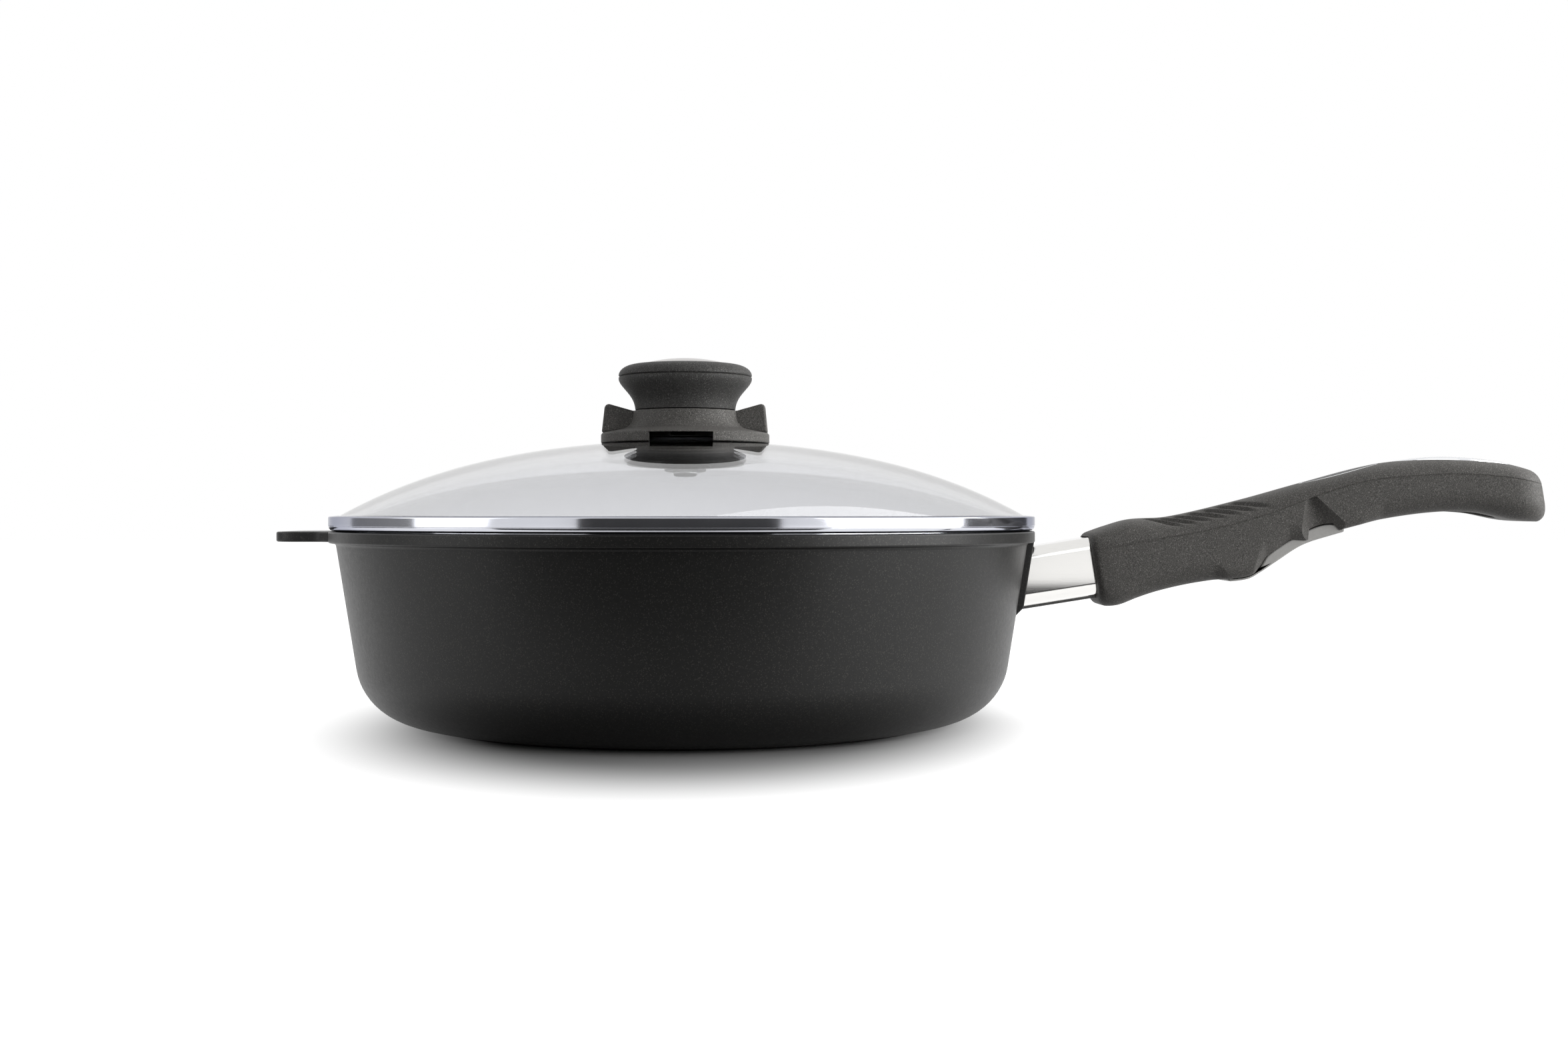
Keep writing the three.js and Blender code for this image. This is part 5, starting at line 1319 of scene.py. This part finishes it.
# Heights of the pieces above the glass, up to the knob's socket, into which the screw reaches.
CORE_BOTTOM = UPPER_GASKET_TOP + SEAM
CORE_FLANGE = 2.2
CORE_TOP = CORE_BOTTOM + CORE_FLANGE
RING_RADIUS = 30.8
RING_HEIGHT = 11.9
RING_BOTTOM = glass_top(RING_RADIUS) + RUNNING
RING_TOP = RING_BOTTOM + RING_HEIGHT
KNOB_BOTTOM = RING_TOP + RUNNING
NECK_SOCKET = 4
SOCKET_TOP = KNOB_BOTTOM + NECK_SOCKET

screw_bearing = CAGE_BOTTOM - SEAM
screw_section = [
    (0, screw_bearing - SCREW_HEAD_HEIGHT),
    (SCREW_HEAD_RADIUS, screw_bearing - SCREW_HEAD_HEIGHT, SCREW_HEAD_HEIGHT * SCREW_HEAD_ROUND),
    (SCREW_HEAD_RADIUS, screw_bearing, SCREW_HEAD_EDGE),
    (SCREW_RADIUS, screw_bearing),
    (SCREW_RADIUS, SOCKET_TOP + SCREW_THREAD, SCREW_POINT),
    (0, SOCKET_TOP + SCREW_THREAD),
]
screw = turned("screw", screw_section, ZINC, segments=SCREW_TURN)
slot_half = SCREW_RADIUS / 4
slot_top = screw_bearing - SCREW_HEAD_HEIGHT / 2
combine(screw, [block((-FAR, FAR), (-slot_half, slot_half), (slot_top - FAR, slot_top))], "DIFFERENCE")
soften(screw)
fit(screw, ZINC, "zinc_steel", "lid", "lid_screw")

# Vent core
# A black moulding under the knob, seen through the ring's window. Its stem passes through the glass, and
# steam that rises beside the screw leaves through its side slots.
STEM_RADIUS = 7.5
CORE_RADIUS = 16.5
CORE_EDGE = 0.3
NECK_RADIUS = 8.5
STEAM_SLOT_WIDTH = 9
STEAM_SLOT_HEIGHT = 1.2
STEAM_SLOT_WALL = 1
core_section = [
    (SCREW_BORE, WASHER_BOTTOM),
    (STEM_RADIUS, WASHER_BOTTOM, CORE_EDGE),
    (STEM_RADIUS, CORE_BOTTOM),
    (CORE_RADIUS, CORE_BOTTOM, CORE_EDGE),
    (CORE_RADIUS, CORE_TOP, CORE_EDGE),
    (NECK_RADIUS, CORE_TOP),
    (NECK_RADIUS, SOCKET_TOP - SEAM, CORE_EDGE),
    (SCREW_BORE, SOCKET_TOP - SEAM),
]
core = turned("core", core_section, BLACK, closed=True)
steam_low = CORE_TOP - CORE_FLANGE / 2 - STEAM_SLOT_HEIGHT / 2
steam_levels = (steam_low, steam_low + STEAM_SLOT_HEIGHT)
steam_half = STEAM_SLOT_WIDTH / 2
steam_inner = SCREW_BORE + STEAM_SLOT_WALL
steam_ways = [(-FAR, -steam_inner), (steam_inner, FAR)]
steam_slots = [block((-steam_half, steam_half), way, steam_levels) for way in steam_ways]
combine(core, steam_slots, "DIFFERENCE")
soften(core)
fit(core, BLACK, "black_moulding", "lid", "vent_core")

# Vent ring
# A speckled moulding that turns on the core by hand: a band with a window, a hollow flare, and two wings
# for the fingers. The knob above keeps it in place.
RING_BAND = 3.6
RING_WALL = 4
RING_EDGE = 1
RING_FOOT_EDGE = 0.4
RING_CAVITY_EDGE = 0.3
RING_SHOULDER = 5.8
RING_FLARE = 5
HUB_RADIUS = 19
WING_RISE = 2.9
WING_THICKNESS = 12
WING_TIP_RADIUS = 1.6
WING_TIP_INSET = 1.6
WING_EDGE = 1.0
WING_TAPER = 0.3  # share of its thickness that a wing loses from the ring's foot to its top
WINDOW_WIDTH = 22.6
WINDOW_HEIGHT = 3.2
ring_cavity = RING_RADIUS - RING_WALL
ring_roof = CORE_TOP + RUNNING
ring_bore = NECK_RADIUS + RUNNING
ring_section = [
    (ring_cavity, RING_BOTTOM, RING_CAVITY_EDGE),
    (RING_RADIUS, RING_BOTTOM, RING_FOOT_EDGE),
    (RING_RADIUS, RING_BOTTOM + RING_BAND, RING_EDGE),
    (HUB_RADIUS + RING_EDGE, RING_BOTTOM + RING_SHOULDER, RING_FLARE),
    (HUB_RADIUS, RING_TOP, RING_FOOT_EDGE),
    (ring_bore, RING_TOP),
    (ring_bore, ring_roof),
    (CORE_RADIUS + RING_EDGE, ring_roof),
    (ring_cavity, RING_BOTTOM + WINDOW_HEIGHT),
]
ring = turned("ring", ring_section, RESIN, closed=True)
wing_corners = [
    (HUB_RADIUS - RING_FLARE, ring_roof + RING_EDGE, 0),
    (RING_RADIUS - RING_EDGE / 2, RING_BOTTOM + RING_BAND, 0),
    (RING_RADIUS - WING_TIP_INSET, RING_TOP + WING_RISE, WING_TIP_RADIUS),
    (HUB_RADIUS, RING_TOP, 0),
    (HUB_RADIUS - RING_FLARE, RING_TOP, 0),
]
for side in (1, -1):
    wing_outline = [(side * a, b) for a, b in rounded(wing_corners)]
    wing = prism("wing", wing_outline, -WING_THICKNESS / 2, WING_THICKNESS / 2, "xzy")
    for point in wing.data.vertices:
        point.co.y *= 1 - WING_TAPER * (point.co.z / MM - RING_BOTTOM) / RING_HEIGHT
    ease(wing, WING_EDGE, steps=4, angle=50)
    combine(ring, [wing], "UNION")
half_window = WINDOW_WIDTH / 2
window_depth = (-RING_RADIUS - RUNNING, -ring_cavity + RING_WALL)
window_levels = (RING_BOTTOM - RUNNING, RING_BOTTOM + WINDOW_HEIGHT)
window = block((-half_window, half_window), window_depth, window_levels)
combine(ring, [window], "DIFFERENCE")
soften(ring)
fit(ring, RESIN, "dark_moulding", "vent", "vent_ring")

# Knob
# A waisted grip and a rounded cap of a darker speckled moulding, joined at a fine line.
# A satin metal disc, slightly domed, is pressed into the top.
KNOB_FOOT_RADIUS = 18.3
KNOB_RADIUS = 24.4
KNOB_BODY_HEIGHT = 12
KNOB_SWELL_END = 0.92  # share of the grip's height at which it is widest
KNOB_HOLLOW_RADIUS = 15
KNOB_HOLLOW_DEPTH = 4
KNOB_WAIST = 1.4  # exponent that holds the swell back above the foot
KNOB_BEND = 0.75  # share of the swell that follows a bend, the rest being straight
KNOB_STEPS = 28
CAP_STEPS = 20
INLAY_STEPS = 12
KNOB_GROOVE = 0.3
CAP_HEIGHT = 4.2
CAP_SHOULDER_RADIUS = 18
CAP_PLUG = 3
INLAY_RADIUS = 16.8
INLAY_CROWN = 2.4
INLAY_SEAT = 1.2
KNOB_TOP = KNOB_BOTTOM + KNOB_BODY_HEIGHT
CAP_BOTTOM = KNOB_TOP + SEAM / 2
CAP_TOP = KNOB_TOP + SEAM + CAP_HEIGHT


def grip_point(share):
    """Radius and height of the waisted grip at a share of its height."""
    rise = min(share / KNOB_SWELL_END, 1)
    t = rise ** KNOB_WAIST
    swell = KNOB_BEND * t * t * (3 - 2 * t) + (1 - KNOB_BEND) * rise
    return KNOB_FOOT_RADIUS + (KNOB_RADIUS - KNOB_FOOT_RADIUS) * swell, KNOB_BOTTOM + KNOB_BODY_HEIGHT * share


knob_section = [grip_point(k / KNOB_STEPS) for k in range(KNOB_STEPS)] + [
    (KNOB_RADIUS, KNOB_TOP - KNOB_GROOVE),
    (KNOB_RADIUS - KNOB_GROOVE, KNOB_TOP),
    (KNOB_HOLLOW_RADIUS, KNOB_TOP),
    (KNOB_HOLLOW_RADIUS, KNOB_TOP - KNOB_HOLLOW_DEPTH),
    (SCREW_BORE, KNOB_TOP - KNOB_HOLLOW_DEPTH),
    (SCREW_BORE, SOCKET_TOP),
    (NECK_RADIUS + SEAM, SOCKET_TOP),
    (NECK_RADIUS + SEAM, KNOB_BOTTOM),
]
KNOB_RESIN = speckled_moulding(
    "knob_moulding", (0.03, 0.0295, 0.0285, 1), (0.07, 0.069, 0.067, 1), (0.14, 0.138, 0.133, 1)
)
lid_part("grip", knob_section, KNOB_RESIN, "dark_moulding", "knob_body")

plug_radius = KNOB_HOLLOW_RADIUS - SEAM
inlay_seat = INLAY_RADIUS + SNUG
cap_span = KNOB_RADIUS - CAP_SHOULDER_RADIUS
cap_foot = CAP_BOTTOM + KNOB_GROOVE
cap_crown = [(KNOB_RADIUS - KNOB_GROOVE, CAP_BOTTOM)]
for k in range(CAP_STEPS + 1):
    turn = math.pi / 2 * k / CAP_STEPS
    radius = CAP_SHOULDER_RADIUS + cap_span * math.cos(turn)
    cap_crown.append((radius, cap_foot + (CAP_TOP - cap_foot) * math.sin(turn)))
cap_section = [
    (0, CAP_BOTTOM - CAP_PLUG),
    (plug_radius, CAP_BOTTOM - CAP_PLUG),
    (plug_radius, CAP_BOTTOM),
    *cap_crown,
    (inlay_seat, CAP_TOP),
    (inlay_seat, CAP_TOP - INLAY_SEAT),
    (0, CAP_TOP - INLAY_SEAT),
]
lid_part("cap", cap_section, KNOB_RESIN, "dark_moulding", "knob_cap", closed=False)

inlay_bottom = CAP_TOP - INLAY_SEAT + SEAM
disc_section = [(0, inlay_bottom), (INLAY_RADIUS, inlay_bottom)]
for k in range(INLAY_STEPS + 1):
    share = 1 - k / INLAY_STEPS
    disc_section.append((INLAY_RADIUS * share, CAP_TOP + INLAY_CROWN * (1 - share ** 2)))
SATIN = brushed("satin_disc", (0.42, 0.4, 0.385, 1), 0.2, 0.4, "x")
lid_part("top_disc", disc_section, SATIN, "polished_metal", "knob_inlay", closed=False)

# Studio
# A grey floor that glows white beyond a painted pool of shadow round the pan, soft boxes left, right,
# overhead and in front, and dark cards that only reflections show, which paint dark reflections.
# The camera looks level along +Y from just above the pan's lip.
CAMERA_SPOT = (0.03618, -0.65, 0.07504)
FOCAL_PIXELS = 2657.04
PHOTO_WIDTH = 2352
AXIS_RISE = 15.31  # pixels, of the optical axis over the middle of the frame
SENSOR = 36.0
AMBIENT = 0.2
FLOOR_REACH = 4.0
# Dark grey floor: inside the pool round the pan it shows as painted shadow, with the real shadow on it, and
# beyond the pool the floor glows white.
FLOOR_GREY = 0.26
PAINTED_SHADOW_SQUEEZE = (1.6, 1, 1)  # makes the painted round pool of shadow narrower along X
PAINTED_SHADOW_SHIFT = (-0.002, 0, 0)
PAINTED_SHADOW_FADE = (0.117, 0.222)  # m from the middle, between which the floor turns from painted shadow to white
CARD_HEIGHT = 0.24
MIDDLE = (0.02, 0, 0.07)


def lamp(name, spot, width, height, power):
    """A soft box, unseen by the camera and aimed at the object's middle. Sizes are in m, and power in W."""
    light = bpy.data.lights.new(name, "AREA")
    light.shape = "RECTANGLE"
    light.size = width
    light.size_y = height
    light.energy = power
    holder = bpy.data.objects.new(name, light)
    bpy.context.collection.objects.link(holder)
    holder.location = spot
    away = holder.location - Vector(MIDDLE)
    holder.rotation_euler = away.to_track_quat("Z", "Y").to_euler()
    holder.visible_camera = False


lamp("left_box", (-1.5, -0.35, 0.5), width=1.2, height=1.2, power=7.0)
lamp("right_box", (1.5, -0.3, 0.45), width=2.0, height=1.0, power=40.0)
lamp("top_box", (0.8, 0.5, 1.1), width=1.4, height=1.2, power=11.0)
lamp("front_box", (0.2, -1.4, 0.55), width=1.2, height=0.6, power=2.0)
bpy.data.objects["top_box"].visible_glossy = False  # it lights the object without a reflection of its own

world = bpy.data.worlds.new("studio_world")
bpy.context.scene.world = world
world.use_nodes = True
backdrop = world.node_tree.nodes["Background"]
rays = Wire(world.node_tree)


def shown_rays(start):
    """1 for what the camera, polished surfaces and glass see, and 0 for light that falls on the object."""
    kinds = ("Is Camera Ray", "Is Glossy Ray", "Is Transmission Ray")
    first, second, third = (start.make("ShaderNodeLightPath", output=kind) for kind in kinds)
    return first.math("MAXIMUM", first.math("MAXIMUM", first, second), third)


shown_rays(rays).mix((AMBIENT, AMBIENT, AMBIENT, 1), (1, 1, 1, 1)).into(backdrop, "Color")

floor_corners = [(x * FLOOR_REACH, y * FLOOR_REACH, 0) for x, y in ((-1, -1), (1, -1), (1, 1), (-1, 1))]
floor = add_piece("floor", floor_corners, [(0, 1, 2, 3)])
floor_finish, floor_place, floor_shader = finish("floor_paper", {"Specular IOR Level": 0.0, "Roughness": 1.0})
floor_shader.inputs["Base Color"].default_value = (FLOOR_GREY, FLOOR_GREY, FLOOR_GREY, 1)
floor_shader.inputs["Emission Strength"].default_value = 1.0
# Painted shadow: the floor glows white for the camera, reflections and glass only beyond a pool round the
# pan, so the pool stays dark.
squeeze = {0: floor_place, 1: PAINTED_SHADOW_SQUEEZE, 2: PAINTED_SHADOW_SHIFT}
squeezed = floor_place.make("ShaderNodeVectorMath", {"operation": "MULTIPLY_ADD"}, squeeze)
reach = floor_place.make("ShaderNodeVectorMath", {"operation": "LENGTH"}, {0: squeezed}, "Value")
white_beyond_painted_shadow = reach.step(*PAINTED_SHADOW_FADE) * shown_rays(floor_place)
white_beyond_painted_shadow.mix((0, 0, 0, 1), (1, 1, 1, 1)).into(floor_shader, "Emission Color")
floor.data.materials.append(floor_finish)


def card(name, start, end, tone, low=0.0, high=CARD_HEIGHT):
    """An upright card between two floor points and two heights that only shows in reflections, as a painted
    dark reflection.
    """
    corners = [(*start, low), (*end, low), (*end, high), (*start, high)]
    piece = add_piece(name, corners, [(0, 1, 2, 3)])
    material = bpy.data.materials.new(name)
    material.use_nodes = True
    tree = material.node_tree
    bench = Wire(tree)
    clear = bench.make("ShaderNodeBsdfTransparent")
    dark = bench.make("ShaderNodeEmission", (), {"Color": (tone, tone, tone, 1)})
    glossy = bench.make("ShaderNodeLightPath", output="Is Glossy Ray")
    through = bench.make("ShaderNodeLightPath", output="Is Transmission Ray")
    both = bench.make("ShaderNodeMixShader", (), {0: glossy - through, 1: clear, 2: dark})
    both.into(tree.nodes["Material Output"], "Surface")
    piece.data.materials.append(material)


# Each card paints a dark reflection: the front card in the middle of the pan's wall, the side flags at the
# sides.
card("front_card", (-0.125, -0.3), (0.148, -0.3), tone=0.055)
card("left_flag", (-0.891, -0.125), (-0.795, 0.42), tone=0.28)
card("right_flag", (0.891, 0.04), (0.58, 0.69), tone=0.12)
# These two stand in for the shaded floor in front of the pan, painting its dark reflection in the rim's lower
# bead and along the ferrule's lower edge.
card("rim_shade_reflection_card", (-0.185, -0.2), (0.135, -0.2), tone=0.05, high=0.06)
card("ferrule_shade_reflection_card", (0.128, -0.08), (0.19, -0.08), tone=0.02, low=0.03, high=0.0457)

camera_data = bpy.data.cameras.new("camera")
camera_data.sensor_width = SENSOR
camera_data.lens = FOCAL_PIXELS / PHOTO_WIDTH * SENSOR
camera_data.shift_y = -AXIS_RISE / PHOTO_WIDTH
camera_data.clip_start = 0.01
camera = bpy.data.objects.new("camera", camera_data)
bpy.context.collection.objects.link(camera)
camera.location = CAMERA_SPOT
camera.rotation_euler = (math.pi / 2, 0, 0)
bpy.context.scene.camera = camera
